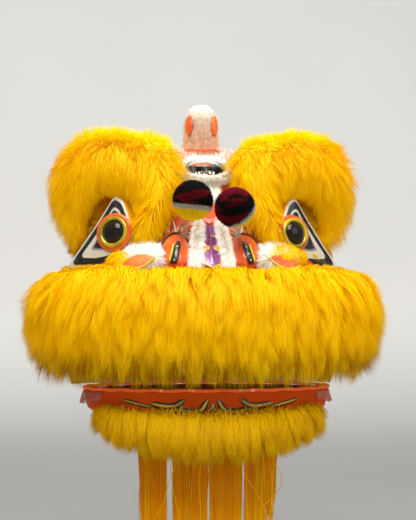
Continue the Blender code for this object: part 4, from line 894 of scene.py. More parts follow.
# Brows: two thick hoods of the same shag, wired up over the eyes, combed down in front of them.
# The hood's section is told in rays round the eye, thick at the nose side, thin at the cheek.
BROW_RADIUS = 0.222
BROW_FRONT = 0.235
BROW_CORE = (0.70, 0.80)
BROW_STRANDS = 20000
BROW_LENGTH = 0.046
BROW_RAYS = np.array([
    # angle, inner, outer, front, back
    (-24.0, 0.190, 0.260, 0.880, 0.700),
    (-12.0, 0.150, 0.290, 0.930, 0.560),
    (5.0, 0.125, 0.340, 0.975, 0.450),
    (22.0, 0.120, 0.470, 1.000, 0.330),
    (36.0, 0.130, 0.680, 1.000, 0.200),
    (48.0, 0.150, 0.960, 0.950, 0.090),
    (60.0, 0.185, 1.065, 0.910, 0.030),
    (75.0, 0.240, 1.030, 0.870, -0.020),
    (90.0, 0.310, 1.020, 0.840, -0.040),
    (105.0, 0.350, 1.045, 0.800, -0.050),
    (120.0, 0.310, 0.985, 0.740, -0.040),
    (135.0, 0.285, 0.865, 0.640, -0.020),
    (150.0, 0.275, 0.680, 0.550, 0.020),
    (165.0, 0.275, 0.515, 0.490, 0.080),
    (178.0, 0.285, 0.375, 0.440, 0.150),
    (188.0, 0.295, 0.320, 0.400, 0.220),
])
HOOD_LINING = (0.232, 0.318, 0.095, 0.150, 0.008)
CHEEK_PATCHES = {"left": (0.168, 0.244, 0.054, 0.036, 0.030), "right": (0.150, 0.257, 0.088, 0.044, 0.040)}
POMPOM_RADIUS = 0.041
POMPOMS = {"left": (-0.0365, -0.252, 0.3575), "right": (0.0430, -0.272, 0.3420)}

# Dark-rooted copy of the shag for the hood's lining: painted shade in the hollow under the brow round the
# eye panel.
lining_shaded_fur = fur_material(
    "lining_shag", (0.30, 0.14, 0.002), (0.90, 0.54, 0.001), (1.00, 0.64, 0.001), (0.66, 0.34, 0.001),
)
for label, side in SIDES:
    centre = (side * EYE_X, EYE_Z)

    def brow_surface(u, v):
        """Oval section in a ray's plane, its size read from the table of rays."""
        angle = BROW_RAYS[0, 0] + u * (BROW_RAYS[-1, 0] - BROW_RAYS[0, 0])
        inner, outer, front, back = (
            np.interp(angle, BROW_RAYS[:, 0], BROW_RAYS[:, k]) for k in (1, 2, 3, 4)
        )
        turn = 2 * math.pi * v
        reach = BROW_RADIUS * ((inner + outer) + BROW_CORE[0] * (outer - inner) * np.cos(turn)) / 2
        y = -BROW_FRONT * ((front + back) + BROW_CORE[1] * (front - back) * np.sin(turn)) / 2
        ray = np.radians(angle)
        x = centre[0] - side * reach * np.cos(ray)
        return np.stack([x, y, centre[1] + reach * np.sin(ray)], -1)

    def brow_comb(root, normal, u, v):
        """Up and out on the crest, then down over the front; short and flat inside the hood."""
        crest = np.clip((normal[:, 2:] + 0.05) / 0.75, 0, 1)
        outside = np.array([[side, 0.0, 0.0]])
        flow = np.array([[0.0, -1.0, -0.35]])
        flow = unit(flow - (flow * normal).sum(1, keepdims=True) * normal)
        start = normal * 0.6 + DOWN * 0.55 * (1 - crest) + flow * crest * 0.35
        flap = np.clip((u[:, None] - 0.62) / 0.3, 0, 1)
        fall = DOWN + 0.22 * normal + 0.25 * outside * flap
        hang = fall * (1 - crest) + (flow * 0.45 + normal * 0.5 + DOWN * 0.35 + outside * 0.12) * crest
        return start, hang

    def brow_length(root, normal, u, v):
        """Full over the front and the crest, short towards the eye inside the hood."""
        inwards = centre[0] - root[:, 0], centre[1] - root[:, 2]
        towards = (normal[:, 0] * inwards[0] + normal[:, 2] * inwards[1]) / np.hypot(*inwards)
        front = np.clip(-normal[:, 1], 0, 1)
        shorter = np.clip(towards, 0, 1) * (1 - front)
        crest = np.clip(normal[:, 2] * (1 - front), 0, 1)
        return BROW_LENGTH * (1.0 - 0.55 * shorter) * (1.0 - 0.28 * crest)

    clear = [(eye_places[label], 0.0345), (POMPOMS[label], POMPOM_RADIUS + 0.001)]
    hood = core("brow_hood_" + label, brow_surface, ((0, 1), (0, 1)), (90, 28), yellow_backing)
    shag = fur(
        "brow_shag_" + label, brow_surface, ((0.0, 1.0), (0.0, 1.0)), BROW_STRANDS, (26, 16),
        brow_length, brow_comb, brow_fur, clear=clear, seed=31 + side,
    )
    dress((hood, shag), "head", "brow_fur_" + label)

    def lining_comb(root, normal, u, v):
        outside = np.array([[side, 0.0, 0.0]])
        return normal + outside * 0.5, DOWN * 0.5 + outside * 0.8 + normal * 0.45

    def patch_fall(root, normal, u, v):
        return normal + DOWN * 0.4, DOWN + normal * 0.35

    clear = [(eye_places[label], 0.036)]
    patches = [
        fur("hood_lining_" + label, pad_surface(side * HOOD_LINING[0], *HOOD_LINING[1:]),
            ((0.03, 0.97), (0.0, 0.5)), 5000, (14, 9), 0.019, lining_comb, lining_shaded_fur,
            steps=2, clear=clear, seed=41 + side),
        fur("cheek_patch_" + label, pad_surface(side * CHEEK_PATCHES[label][0], *CHEEK_PATCHES[label][1:]),
            ((0.03, 0.97), (0.0, 0.5)), 2200, (9, 5), 0.019, patch_fall, yellow_fur,
            steps=2, clear=clear, seed=45 + side),
    ]
    dress(patches, "head", "brow_fur_" + label)

# Cheeks: short yellow plush between the eye panel and the lip, with a white trim at the nose side
# in which a leaf of orange foil with yellow piping is bedded.
CHEEK_HALF_WIDTH = 0.276
CHEEK_FRONT = 0.250
CHEEK_END = -0.050
CHEEK_LOW = 0.197
CHEEK_TOP = 0.2325
CHEEK_ANGLES = (33.0, 92.0)
TRIM_X = 0.128
TRIM_WIDTH = 0.082
TRIM_MIDDLE = 0.248
TRIM_HEIGHT = 0.044
TRIM_STAND = 0.032
LEAF_X = 0.142
LEAF_Z = 0.238
LEAF_STAND = 0.0292
LEAF_LENGTH = 0.068
LEAF_WIDTH = 0.030
LEAF_YAW = 22.0
LEAF_ELEVATION = 28.0
LEAF_ROLL = 14.0

# Both white plushes glow with their own colour, which is painted light. The nose's copy glows much more to
# lift the strips in the pompoms' shade.
white_fur = fur_material(
    "white_plush", (0.78, 0.70, 0.56), (0.90, 0.87, 0.77), (0.92, 0.90, 0.82), (0.88, 0.78, 0.64),
    Emission_Strength=0.18,
)
nose_fur = fur_material(
    "nose_plush", (0.86, 0.76, 0.66), (0.92, 0.88, 0.80), (0.94, 0.92, 0.86), (0.90, 0.80, 0.70),
    Emission_Strength=0.42,
)
white_backing = plush_backing("white_backing", (0.66, 0.58, 0.48), (0.84, 0.79, 0.70))
yellow_piping, tree, shader = new_material("yellow_piping", 0.4)
colour_with(tree, shader, between(tree, noise(tree, 60.0), (0.86, 0.62, 0.005), (1.0, 0.86, 0.03)))


def leaf_loop(length, width, count):
    """Two equal arcs between the leaf's tips."""
    turn = np.linspace(0, 2 * math.pi, count, endpoint=False)
    across = np.cos(turn)
    return np.stack([length / 2 * across, width / 2 * (1 - across**2) * np.sign(np.sin(turn))], 1)


def plate(name, outline, matrix, low, high, crown, materials):
    """A flat outline with a crowned face: rings from its middle out to the edge and back."""
    shares = [0.05, 0.35, 0.65, 0.85, 0.96, 1.0, 1.0, 0.5, 0.05]
    heights = [high + crown * (1 - s**2) for s in shares[:5]] + [high - 0.0004, low, low, low]
    grid = np.array([
        np.column_stack([outline * s, np.full(len(outline), h)]) for s, h in zip(shares, heights)
    ])
    return grid_object(name, moved(grid, matrix), materials)


def tube(name, route, radius, materials, sides=8, closed=False):
    """A round section carried along a route; its frame turns as little as it can."""
    route = np.asarray(route)
    if closed:
        way = unit(np.roll(route, -1, 0) - np.roll(route, 1, 0))
    else:
        way = unit(np.gradient(route, axis=0))
    guide = np.array([0.0, 0.0, 1.0]) if abs(way[:, 2]).mean() < 0.8 else np.array([1.0, 0.0, 0.0])
    side = unit(np.cross(way, guide))
    lift = np.cross(side, way)
    turn = np.linspace(0, 2 * math.pi, sides, endpoint=False)
    radius = np.broadcast_to(radius, len(route))[:, None, None]
    ring = side[:, None] * np.cos(turn)[None, :, None] + lift[:, None] * np.sin(turn)[None, :, None]
    return grid_object(name, route[:, None] + ring * radius, materials, round_rows=closed)


for label, side in SIDES:
    def cheek_surface(u, v):
        """Flat oval section carried round the cheek's arc, closing at both ends."""
        angle = CHEEK_ANGLES[0] + u * (CHEEK_ANGLES[1] - CHEEK_ANGLES[0])
        point, out = arc_at(angle, CHEEK_HALF_WIDTH, CHEEK_FRONT, CHEEK_END)
        full = np.sqrt(np.maximum(0.02, 1 - (2 * u - 1) ** 6))
        turn = 2 * math.pi * v
        offset = 0.004 + 0.016 * np.cos(turn) * full
        z = (CHEEK_LOW + CHEEK_TOP) / 2 + (CHEEK_TOP - CHEEK_LOW) * 0.42 * np.sin(turn) * full
        place = point + out * offset[..., None] + np.stack([0 * z, 0 * z, z], -1)
        return place * (side, 1.0, 1.0)

    def cheek_comb(root, normal, u, v):
        outside = np.array([[side * 0.4, -0.3, -0.25]])
        return normal + outside * 0.5, outside + normal * 0.35 + DOWN * 0.35

    clear = [(eye_places[label], 0.044)]
    bed = core("cheek_bed_" + label, cheek_surface, ((0, 1), (0, 1)), (40, 20), yellow_backing)
    plush = fur(
        "cheek_plush_" + label, cheek_surface, ((0, 1), (-0.25, 0.36)), 3000, (20, 4), 0.022,
        cheek_comb, yellow_fur, steps=2, clear=clear, seed=51 + side, pull=0.45,
    )
    dress((bed, plush), "head", "cheek_fur_" + label)

    trim_surface = pad_surface(side * TRIM_X, TRIM_MIDDLE, TRIM_WIDTH, TRIM_HEIGHT, TRIM_STAND)
    leaf_at = (side * LEAF_X, float(shell_front(LEAF_X, LEAF_Z)) - LEAF_STAND, LEAF_Z)
    roll = Matrix.Rotation(-side * math.radians(LEAF_ROLL), 4, "Z")
    leaf_matrix = facing(leaf_at, side * LEAF_YAW, LEAF_ELEVATION) @ np.array(roll)
    leaf_middle = moved(np.array([[0.0, 0.0, 0.006]]), leaf_matrix)[0]
    leaf_ends = moved(np.array([[-0.018, 0.0, 0.006], [0.018, 0.0, 0.006]]), leaf_matrix)

    def trim_comb(root, normal, u, v):
        """The pile leans away from the leaf and outwards."""
        away = unit(root - leaf_middle)
        return normal + 0.6 * away, normal * 0.45 + away * 0.5 + DOWN * 0.3

    trim_bed = core("trim_bed_" + label, trim_surface, ((0.02, 0.98), (0, 1)), (14, 28), white_backing)
    trim_pile = fur(
        "trim_pile_" + label, trim_surface, ((0.02, 0.98), (0.0, 0.5)), 2500, (8, 10), 0.019,
        trim_comb, white_fur, width=0.0010, steps=2, seed=61 + side,
        clear=[(leaf_middle, 0.0135), (leaf_ends[0], 0.011), (leaf_ends[1], 0.011), *clear],
    )
    dress((trim_bed, trim_pile), "head", "cheek_trim_" + label)

    outline = leaf_loop(LEAF_LENGTH, LEAF_WIDTH, 64)
    leaf = plate("cheek_leaf_foil_" + label, outline, leaf_matrix, 0.0, 0.0030, 0.0022, [orange_foil])
    route = moved(np.column_stack([outline[32:], np.full(32, 0.0030)]), leaf_matrix)
    piping = tube("cheek_leaf_piping_" + label, route, 0.0016, [yellow_piping])
    dress((leaf, piping), "head", "cheek_leaf_" + label)

# Nose: a ridge faced with purple foil, ringed studs on it, a white fur strip down each side,
# an orange V at its top and a yellow cord along its lower edge.
NOSE_TOP = 0.312
NOSE_BOTTOM = 0.2275
NOSE_TOP_WIDTH = 0.014
NOSE_BOTTOM_WIDTH = 0.038
NOSE_STAND = 0.018
NOSE_FLARE = 0.020
NOSE_POINT = 0.008
NOSE_FUR_WIDTH = 0.028
NOSE_FUR_DEPTH = 0.034
STUD_Z = 0.265
STUD_SPREAD = 0.0100
CREST_WIDTH = 0.052
CREST_HEIGHT = 0.026
CREST_DEPTH = 0.040

purple_foil, tree, shader = new_material("purple_glitter_foil", 0.28, Coat_Weight=0.5)
grit = add(tree, "ShaderNodeTexVoronoi", {"Vector": place_of(tree), "Scale": 900.0}).outputs[1]
spark = add(tree, "ShaderNodeSeparateXYZ", {0: grit}).outputs[0]
violet = between(tree, noise(tree, 70.0, 4.0), (0.15, 0.010, 0.11), (0.40, 0.050, 0.30))
low_part = step_up(tree, axes_of(tree)[2], 0.262, 0.236)
frost = calc(tree, "MULTIPLY", step_up(tree, spark, 0.62, 0.85), calc(tree, "ADD", low_part, 0.25))
violet = between(tree, frost, violet, (0.62, 0.40, 0.62))
colour_with(tree, shader, violet)
tree.links.new(calc(tree, "MULTIPLY", step_up(tree, spark, 0.4, 0.9), 0.7), shader.inputs["Metallic"])
bump(tree, shader, spark, 0.4, 0.0006)

stud_paint, tree, shader = new_material("stud_enamel", 0.25, Coat_Weight=0.6)
blush = noise(tree, 200.0, 2.0)
colour_with(tree, shader, between(tree, blush, (0.90, 0.25, 0.06), (0.95, 0.42, 0.28)))


def nose_front(z):
    """The ridge's front runs straight between its two ends."""
    share = (z - NOSE_BOTTOM) / (NOSE_TOP - NOSE_BOTTOM)
    low, high = (float(shell_front(0.0, at)) - NOSE_STAND for at in (NOSE_BOTTOM, NOSE_TOP))
    return low + share * (high - low)


def nose_half(z):
    """Half width of the purple front at a height."""
    share = (z - NOSE_BOTTOM) / (NOSE_TOP - NOSE_BOTTOM)
    return (NOSE_BOTTOM_WIDTH + share * (NOSE_TOP_WIDTH - NOSE_BOTTOM_WIDTH)) / 2


nose_slope = math.degrees(math.atan2(
    nose_front(NOSE_TOP) - nose_front(NOSE_BOTTOM), NOSE_TOP - NOSE_BOTTOM
))
heights = np.linspace(NOSE_BOTTOM - 0.001, NOSE_TOP, 28)
pinch = np.clip((heights - NOSE_BOTTOM + 0.001) / NOSE_POINT, 0.08, 1.0)
across = np.linspace(-1.0, 1.0, 15)
half = nose_half(heights) * pinch
x = half[:, None] * across
swell = 0.0022 * (1 - across**2) + 0.0016 * np.exp(-((across / 0.22) ** 2))
y = nose_front(heights)[:, None] - swell * pinch[:, None]
front = np.stack([x, y, heights[:, None] + 0 * x], -1)
back = front[:, ::-1] * (1.0, 0.0, 1.0) + np.stack(
    [0.4 * NOSE_FLARE * np.sign(x[:, ::-1]) * np.abs(across[::-1]), 0 * x, 0 * x], -1
)
back[..., 1] = (nose_front(heights) + NOSE_STAND + 0.004)[:, None]
bridge = grid_object("nose_bridge_foil", np.concatenate([front, back], 1), [purple_foil])
dress([bridge], "head", "nose_bridge")

v_route = [(-0.022, 0.2385), (-0.013, 0.2325), (0.0, 0.2265), (0.013, 0.2325), (0.022, 0.2385)]
v_route = np.array([(x, nose_front(z) - 0.002, z) for x, z in v_route])
at = np.linspace(0, len(v_route) - 1, 25)
v_route = np.stack([np.interp(at, np.arange(len(v_route)), v_route[:, k]) for k in range(3)], 1)
cord = tube("nose_yellow_edge", v_route, 0.0015, [yellow_piping])
dress([cord], "head")

for label, x, z, radius in (
    ("left", -STUD_SPREAD, STUD_Z, 0.0062), ("right", STUD_SPREAD, STUD_Z, 0.0062),
    ("top", 0.0045, 0.2895, 0.0030),
):
    matrix = facing((x, nose_front(z) - 0.001, z), 0.0, nose_slope)
    rise = np.radians(np.linspace(5, 90, 8))
    dome_rows = [(0.86 * radius * math.sin(a), 0.0008 + 0.0022 * math.cos(a)) for a in rise]
    button = turned("stud_dome_" + label, dome_rows + [(0.86 * radius, 0.0)], matrix, [stud_paint], 28)
    ring = turned(
        "stud_ring_" + label, circle(0.92 * radius, 0.0014, 0.17 * radius + 0.0002, 8), matrix,
        [yellow_piping], 32, closed=True,
    )
    dress((button, ring), "head", "nose_stud_" + label)

crest_matrix = facing((0.0, nose_front(NOSE_TOP) - GAP, NOSE_TOP), 0.0, nose_slope)
half = CREST_WIDTH / 2
v_shape = np.array([(-half, CREST_HEIGHT), (0.0, 0.0), (half, CREST_HEIGHT), (0.0, 0.62 * CREST_HEIGHT)])
v_shape = smooth_loop(v_shape, 60, 0.16)
middle = v_shape.mean(0)
crest_grid = np.array([
    np.column_stack([middle + (v_shape - middle) * s, np.full(len(v_shape), h)])
    for s, h in ((0.05, 0.001), (0.6, 0.001), (0.95, 0.0004), (1.0, -0.001), (1.0, -0.6 * CREST_DEPTH))
])
crest = grid_object("nose_crest_foil", moved(crest_grid, crest_matrix), [orange_foil])
dress([crest], "head", "nose_crest")

for label, side in SIDES:
    def strip_surface(u, v):
        """A thin roll down the side of the purple front."""
        z = NOSE_BOTTOM + 0.003 + u * (NOSE_TOP + 0.4 * NOSE_FUR_WIDTH - NOSE_BOTTOM)
        full = np.sqrt(np.maximum(0.03, 1 - (2 * u - 1) ** 4)) * 0.62
        turn = 2 * math.pi * v
        x = side * (nose_half(z) + 0.52 * NOSE_FUR_WIDTH) + full * NOSE_FUR_WIDTH / 2 * np.cos(turn)
        y = nose_front(z) + 0.005 - full * NOSE_FUR_DEPTH / 2 * np.sin(turn)
        return np.stack([x, y, z], -1)

    def strip_comb(root, normal, u, v):
        """Inner hairs lie over the purple front, the others point down and out."""
        inwards = np.array([[-side, 0.0, 0.0]])
        inner_side = np.clip(-side * normal[:, :1] + 0.2, 0, 1)
        low = np.clip(1 - 2.2 * u, 0, 1)[:, None]
        hang = inwards * inner_side * 0.8 + DOWN * (0.35 + 0.8 * low) + normal * 0.30
        return normal * 0.6 + hang * 0.4, hang

    def strip_length(root, normal, u, v):
        return 0.0125 + 0.015 * np.clip(1 - 2.6 * u, 0, 1)

    bed = core("nose_strip_bed_" + label, strip_surface, ((0, 1), (0, 1)), (30, 16), white_backing)
    pile = fur(
        "nose_strip_pile_" + label, strip_surface, ((0, 1), (0.0, 1.0)), 2600, (16, 8),
        strip_length, strip_comb, nose_fur, width=0.0009, steps=2, seed=71 + side, pull=0.45,
    )
    dress((bed, pile), "head", "nose_fur_" + label)

# Nostrils: padded wings of orange foil at both sides of the nose, outlined in black above,
# each with a black band of white dots and a yellow stripe down its outer side.
NOSTRIL_X = 0.070
NOSTRIL_Z = 0.2625
NOSTRIL_WIDTH = 0.059
NOSTRIL_HEIGHT = 0.078
NOSTRIL_STAND = 0.034
BAND_WIDTH = 0.013

black_paint, tree, shader = new_material("black_paint", 0.3, Coat_Weight=0.3)
colour_with(tree, shader, between(tree, noise(tree, 80.0), (0.008, 0.008, 0.008), (0.035, 0.03, 0.028)))
white_paint, tree, shader = new_material("white_paint", 0.35)
colour_with(tree, shader, between(tree, noise(tree, 150.0), (0.66, 0.65, 0.60), (0.82, 0.81, 0.78)))


def wing_front(x, z):
    """Depth of a nose wing's face at a place across, on the side of +x, and up."""
    across = (x - NOSTRIL_X) / (NOSTRIL_WIDTH / 2)
    up = (z - NOSTRIL_Z) / (NOSTRIL_HEIGHT / 2)
    bulge = np.sqrt(np.maximum(0.0, 1.0 - up**2 - across**2))
    return shell_front(x, z) - NOSTRIL_STAND * bulge


def painted_line(route, width, depth_of, side, lift):
    """A tapered brush line on a face: a ribbon across a smooth route in the front view."""
    route = np.asarray(route, float)
    at = np.linspace(0, len(route) - 1, 6 * len(route))
    line = np.stack([eased(route[:, k], at) for k in range(2)], 1)
    way = unit(np.gradient(line, axis=0))
    across = np.stack([-way[:, 1], way[:, 0]], 1)
    share = np.linspace(0, 1, len(at))
    half = width / 2 * np.clip(np.minimum(share, 1 - share) * 6, 0.08, 1.0) ** 0.7
    rows = np.stack([line + across * (half * k)[:, None] for k in (-1.0, -0.4, 0.4, 1.0)], 1)
    y = depth_of(rows[..., 0], rows[..., 1]) - lift
    face = np.stack([side * rows[..., 0], y, rows[..., 1]], -1)
    back = face[:, ::-1] + (0.0, 0.6 * lift, 0.0)
    return np.concatenate([face, back], 1)


def brushwork(name, lines, depth_of, side, material, lift=0.0007):
    """Several painted lines as one piece; a line is its route and its width."""
    points, quads = [], []
    for route, width in lines:
        grid = painted_line(route, width, depth_of, side, lift)
        faces = grid_faces(*grid.shape[:2]) + sum(len(part) for part in points)
        quads.append(faces if side > 0 else faces[:, ::-1])
        points.append(grid.reshape(-1, 3))
    return mesh_object(name, np.concatenate(points), np.concatenate(quads), [], [material])


for label, side in SIDES:
    wing_surface = pad_surface(
        side * NOSTRIL_X, NOSTRIL_Z, NOSTRIL_WIDTH, NOSTRIL_HEIGHT, NOSTRIL_STAND + 0.004
    )
    wing = core("nostril_wing_" + label, wing_surface, ((0.02, 0.98), (0, 1)), (24, 40), orange_foil)
    dress([wing], "head", "nostril_" + label)

    heights = np.linspace(NOSTRIL_Z - 0.74 * NOSTRIL_HEIGHT / 2, NOSTRIL_Z + 0.5 * NOSTRIL_HEIGHT / 2, 26)
    share = (heights - NOSTRIL_Z) / (NOSTRIL_HEIGHT / 2)
    middle = NOSTRIL_X - 0.010 * (share + 0.2)
    taper = np.clip((0.56 - share) / 0.35, 0.15, 1.0)
    offsets = np.array([-1.0, -0.6, 0.0, 0.6, 1.0])
    x = middle[:, None] + offsets * (BAND_WIDTH / 2 * taper)[:, None]
    y = wing_front(x, heights[:, None]) - 0.0022 - 0.0012 * (1 - offsets**2)
    face = np.stack([side * x, y, heights[:, None] + 0 * x], -1)
    back = face[:, ::-1] + (0.0, 0.0034, 0.0)
    band = grid_object("nostril_band_paint_" + label, np.concatenate([face, back], 1), [black_paint])
    stripe_x = middle + (BAND_WIDTH / 2 + 0.0016)
    stripe = np.stack([
        side * stripe_x, wing_front(stripe_x, heights) - 0.0016, heights
    ], 1)[3:-5]
    edge = tube("nostril_stripe_" + label, stripe, 0.0019, [yellow_piping])
    pieces = [band, edge]
    for number, z in enumerate((0.2805, 0.2680, 0.2540, 0.2415)):
        x = float(np.interp(z, heights, middle))
        at = (side * x, float(wing_front(x, z)) - 0.0034, z)
        radius = (0.0014, 0.0019, 0.0020, 0.0017)[number]
        rise = np.radians(np.linspace(8, 90, 5))
        rows = [(radius * math.sin(a), 0.0008 * math.cos(a)) for a in rise] + [(radius, -0.0006)]
        pieces.append(turned(
            f"nostril_dot_{label}_{number}", rows, facing(at, 0.0, 10.0), [white_paint], 14
        ))
    dress(pieces, "head", "nostril_band_" + label)

    arc = [(0.098, 0.262), (0.092, 0.281), (0.077, 0.295), (0.058, 0.2975), (0.046, 0.291)]
    outline = brushwork("nostril_outline_" + label, [(arc, 0.0034)], wing_front, side, black_paint, 0.0030)
    dress([outline], "head")

# Painted flames on the shell between the brows and the nose: short tapered strokes that fan out
# from the nostril in black, white, gold and orange.
FAN_X = 0.072
FAN_Z = 0.262
FAN_STROKES = 15


def fan_lines(first, last, count, inner, outer, curl, width, shift=0.0):
    """Strokes at even angles round the fan's centre, each bent to one side by its curl."""
    lines = []
    for number in range(count):
        angle = math.radians(first + (last - first) * (number + shift) / max(count - 1, 1))
        reach = inner + (outer - inner) * (0.72 + 0.28 * math.cos(2.4 * number))
        route = [
            (FAN_X + r * math.cos(angle + curl * k), FAN_Z + r * math.sin(angle + curl * k))
            for k, r in enumerate(np.linspace(inner, reach, 4))
        ]
        lines.append((route, width * (0.8 + 0.4 * (number % 2))))
    return lines


flame_sets = (
    ("orange", orange_foil, fan_lines(20, 152, 8, 0.034, 0.072, 0.05, 0.0072), 0.0016),
    ("black", black_paint, fan_lines(12, 160, FAN_STROKES, 0.032, 0.064, 0.07, 0.0022, 0.3), 0.0020),
    ("white", white_paint, fan_lines(25, 150, 7, 0.036, 0.070, -0.06, 0.0020, 0.6), 0.0024),
    ("gold", yellow_piping, fan_lines(10, 165, 11, 0.036, 0.060, 0.10, 0.0013, 0.8), 0.0022),
)
for label, side in SIDES:
    for tint, material, lines, lift in flame_sets:
        flames = brushwork(f"face_flames_{tint}_{label}", lines, shell_front, side, material, lift)
        dress([flames], "head")

# Pompoms on springs: balls of cut yarn wound in bands of black, dark red, white and yellow, each
# carried by a close coil of bright wire that stands on a nostril.
SPRING_FOOT = (0.0540, 0.290)
SPRING_LIFT = 0.006
SPRING_RADIUS = 0.0052
SPRING_WIRE = 0.0007
SPRING_TURNS = 11
POMPOM_CORE = 0.0335
POMPOM_PILE = 0.0076
POMPOM_STRANDS = 7200

# The yarn glows with its own colour: painted light that lifts the pompoms' shaded undersides.
yarn, tree, shader = new_material("pompom_yarn", 0.85, Emission_Strength=0.14, Specular_IOR_Level=0.1)
strand = strand_of(tree)
fleck = noise(tree, 60.0, 3.0, (1.0, 1.0, 1.6))
level = calc(tree, "ADD", strand[0], calc(tree, "MULTIPLY", calc(tree, "SUBTRACT", fleck, 0.5), 0.05))
maroon = step_up(tree, noise(tree, 26.0, 2.0, (0.5, 1.0, 2.0)), 0.50, 0.56)
jet = between(tree, calc(tree, "MULTIPLY", maroon, 0.9), (0.006, 0.005, 0.006), (0.16, 0.004, 0.010))
dye_and_painted_light = between(tree, step_up(tree, level, 0.300, 0.330), (1.0, 0.70, 0.01), (0.52, 0.52, 0.44))
dye_and_painted_light = between(tree, step_up(tree, level, 0.405, 0.435), dye_and_painted_light, jet)
# Darker towards each strand's root: painted shade deep in the pile.
root_shade = calc(tree, "MULTIPLY", step_up(tree, strand[1], 0.5, 0.0), 0.45)
dye_and_painted_light = between(tree, root_shade, dye_and_painted_light, (0.02, 0.010, 0.004))
colour_with(tree, shader, dye_and_painted_light, glow=True)

steel, tree, shader = new_material("bright_spring_wire", 0.25, Metallic=1.0)
colour_with(tree, shader, between(tree, noise(tree, 300.0), (0.42, 0.42, 0.41), (0.72, 0.72, 0.70)))

POMPOM_AXES = {"left": (0.10, -0.10, 1.0), "right": (-0.62, -0.42, 0.66)}
POMPOM_SHIFT = {"left": 0.04, "right": 0.13}
for label, side in SIDES:
    random = np.random.default_rng(80 + side)
    middle = np.array(POMPOMS[label])
    way = unit(random.normal(0, 1, (POMPOM_STRANDS, 3)))
    lean = unit(way + random.normal(0, 0.16, way.shape))
    reach = POMPOM_PILE * random.uniform(0.82, 1.06, POMPOM_STRANDS)
    root = middle + POMPOM_CORE * way
    path = root[:, None] + lean[:, None] * reach[:, None, None] * np.linspace(0, 1, 3)[None, :, None]
    height = way @ unit(np.array(POMPOM_AXES[label]))
    level = 0.5 + 0.5 * height + POMPOM_SHIFT[label] + random.normal(0, 0.012, POMPOM_STRANDS)
    across = unit(np.cross(way, random.normal(0, 1, way.shape)))
    pile = ribbons(
        "pompom_pile_" + label, path, across, np.full(POMPOM_STRANDS, 0.0013), level,
        random.uniform(0, 3, POMPOM_STRANDS), yarn, shoulder=0.75, shade=way,
    )
    polar = np.linspace(0.02, math.pi - 0.02, 22)[:, None]
    turn = np.linspace(0, 2 * math.pi, 36, endpoint=False)
    sphere = np.stack([
        np.sin(polar) * np.cos(turn), np.sin(polar) * np.sin(turn), np.cos(polar) + 0 * turn
    ], -1)
    uv = np.stack([
        0.5 + 0.5 * sphere @ unit(np.array(POMPOM_AXES[label])) + POMPOM_SHIFT[label],
        np.full(sphere.shape[:2], 0.2),
    ], -1)
    ball = grid_object("pompom_core_" + label, middle + (POMPOM_CORE + 0.001) * sphere, [yarn], uv=uv)
    dress((pile, ball), "head", "pompom_" + label)

    seat = float(wing_front(*SPRING_FOOT))
    foot = np.array([side * SPRING_FOOT[0], seat - SPRING_LIFT, SPRING_FOOT[1]])
    axis = middle - foot
    length = np.linalg.norm(axis) - POMPOM_CORE - 0.003
    axis = unit(axis)
    beside = unit(np.cross(axis, (0.0, 1.0, 0.0)))
    third = np.cross(axis, beside)
    turn = np.linspace(0, 2 * math.pi * SPRING_TURNS, 20 * SPRING_TURNS)
    share = turn / turn[-1]
    coil = foot + axis * (length * share)[:, None] + SPRING_RADIUS * (
        beside * np.cos(turn)[:, None] + third * np.sin(turn)[:, None]
    )
    leg = np.linspace((foot[0], seat - 0.001, foot[2]), coil[0], 5)[:-1]
    spring = tube("pompom_coil_" + label, np.concatenate([leg, coil]), SPRING_WIRE, [steel], 6)
    dress([spring], "head", "pompom_spring_" + label)

# Forehead: a small convex mirror in a thin metal rim, bedded in a ring of white fur, with a white
# patch below it and a white pile over the crown behind it, as far as the horn's foot.
MIRROR_RADIUS = 0.0405
MIRROR_RIM_WIRE = 0.0020
MIRROR_TILT = 58.0
MIRROR_Z = 0.4290
MIRROR_STAND = 0.0100
MIRROR_CROWN = 0.0060
FOREHEAD_FUR = (0.0, 0.390, 0.056, 0.056, 0.018)
CROWN_FUR = (0.068, -0.090, 0.005)

# The silver's colour is a painted reflection: a dark room with painted glints over the lower part, and a
# grey sky over the upper part.
glass, tree, shader = new_material("mirror_silver", 0.03, Metallic=1.0)
haze = noise(tree, 24.0, 2.0)
glint = step_up(tree, noise(tree, 150.0, 2.0, (1.0, 0.4, 0.4)), 0.50, 0.62)
painted_room_reflection = between(tree, glint, (0.045, 0.028, 0.018), (0.62, 0.58, 0.50))
painted_sky_reflection = between(tree, haze, (0.86, 0.87, 0.87), (0.97, 0.98, 0.98))
colour_with(tree, shader, between(tree, step_up(tree, axes_of(tree)[2], 0.441, 0.444), painted_room_reflection, painted_sky_reflection))
tree.links.new(calc(tree, "MULTIPLY", haze, 0.06), shader.inputs["Roughness"])

mirror_at = (0.0, float(shell_front(0.0, MIRROR_Z)), MIRROR_Z)
lift = np.array(Matrix.Translation((0.0, 0.0, MIRROR_STAND)))
mirror_matrix = facing(mirror_at, 0.0, MIRROR_TILT) @ lift
edge_radius = MIRROR_RADIUS - 0.5 * MIRROR_RIM_WIRE
shares = np.linspace(0.04, 1.0, 14)
glass_rows = [(edge_radius * s, 0.0016 + MIRROR_CROWN * (1 - s * s)) for s in shares]
mirror_disc = turned("mirror_disc", glass_rows + [(edge_radius, 0.0)], mirror_matrix, [glass], 72)
dress([mirror_disc], "head", "mirror_glass")
mirror_rim = turned(
    "mirror_wire_rim", circle(MIRROR_RADIUS, MIRROR_RIM_WIRE, MIRROR_RIM_WIRE), mirror_matrix,
    [steel], 72, closed=True,
)
dress([mirror_rim], "head", "mirror_frame")


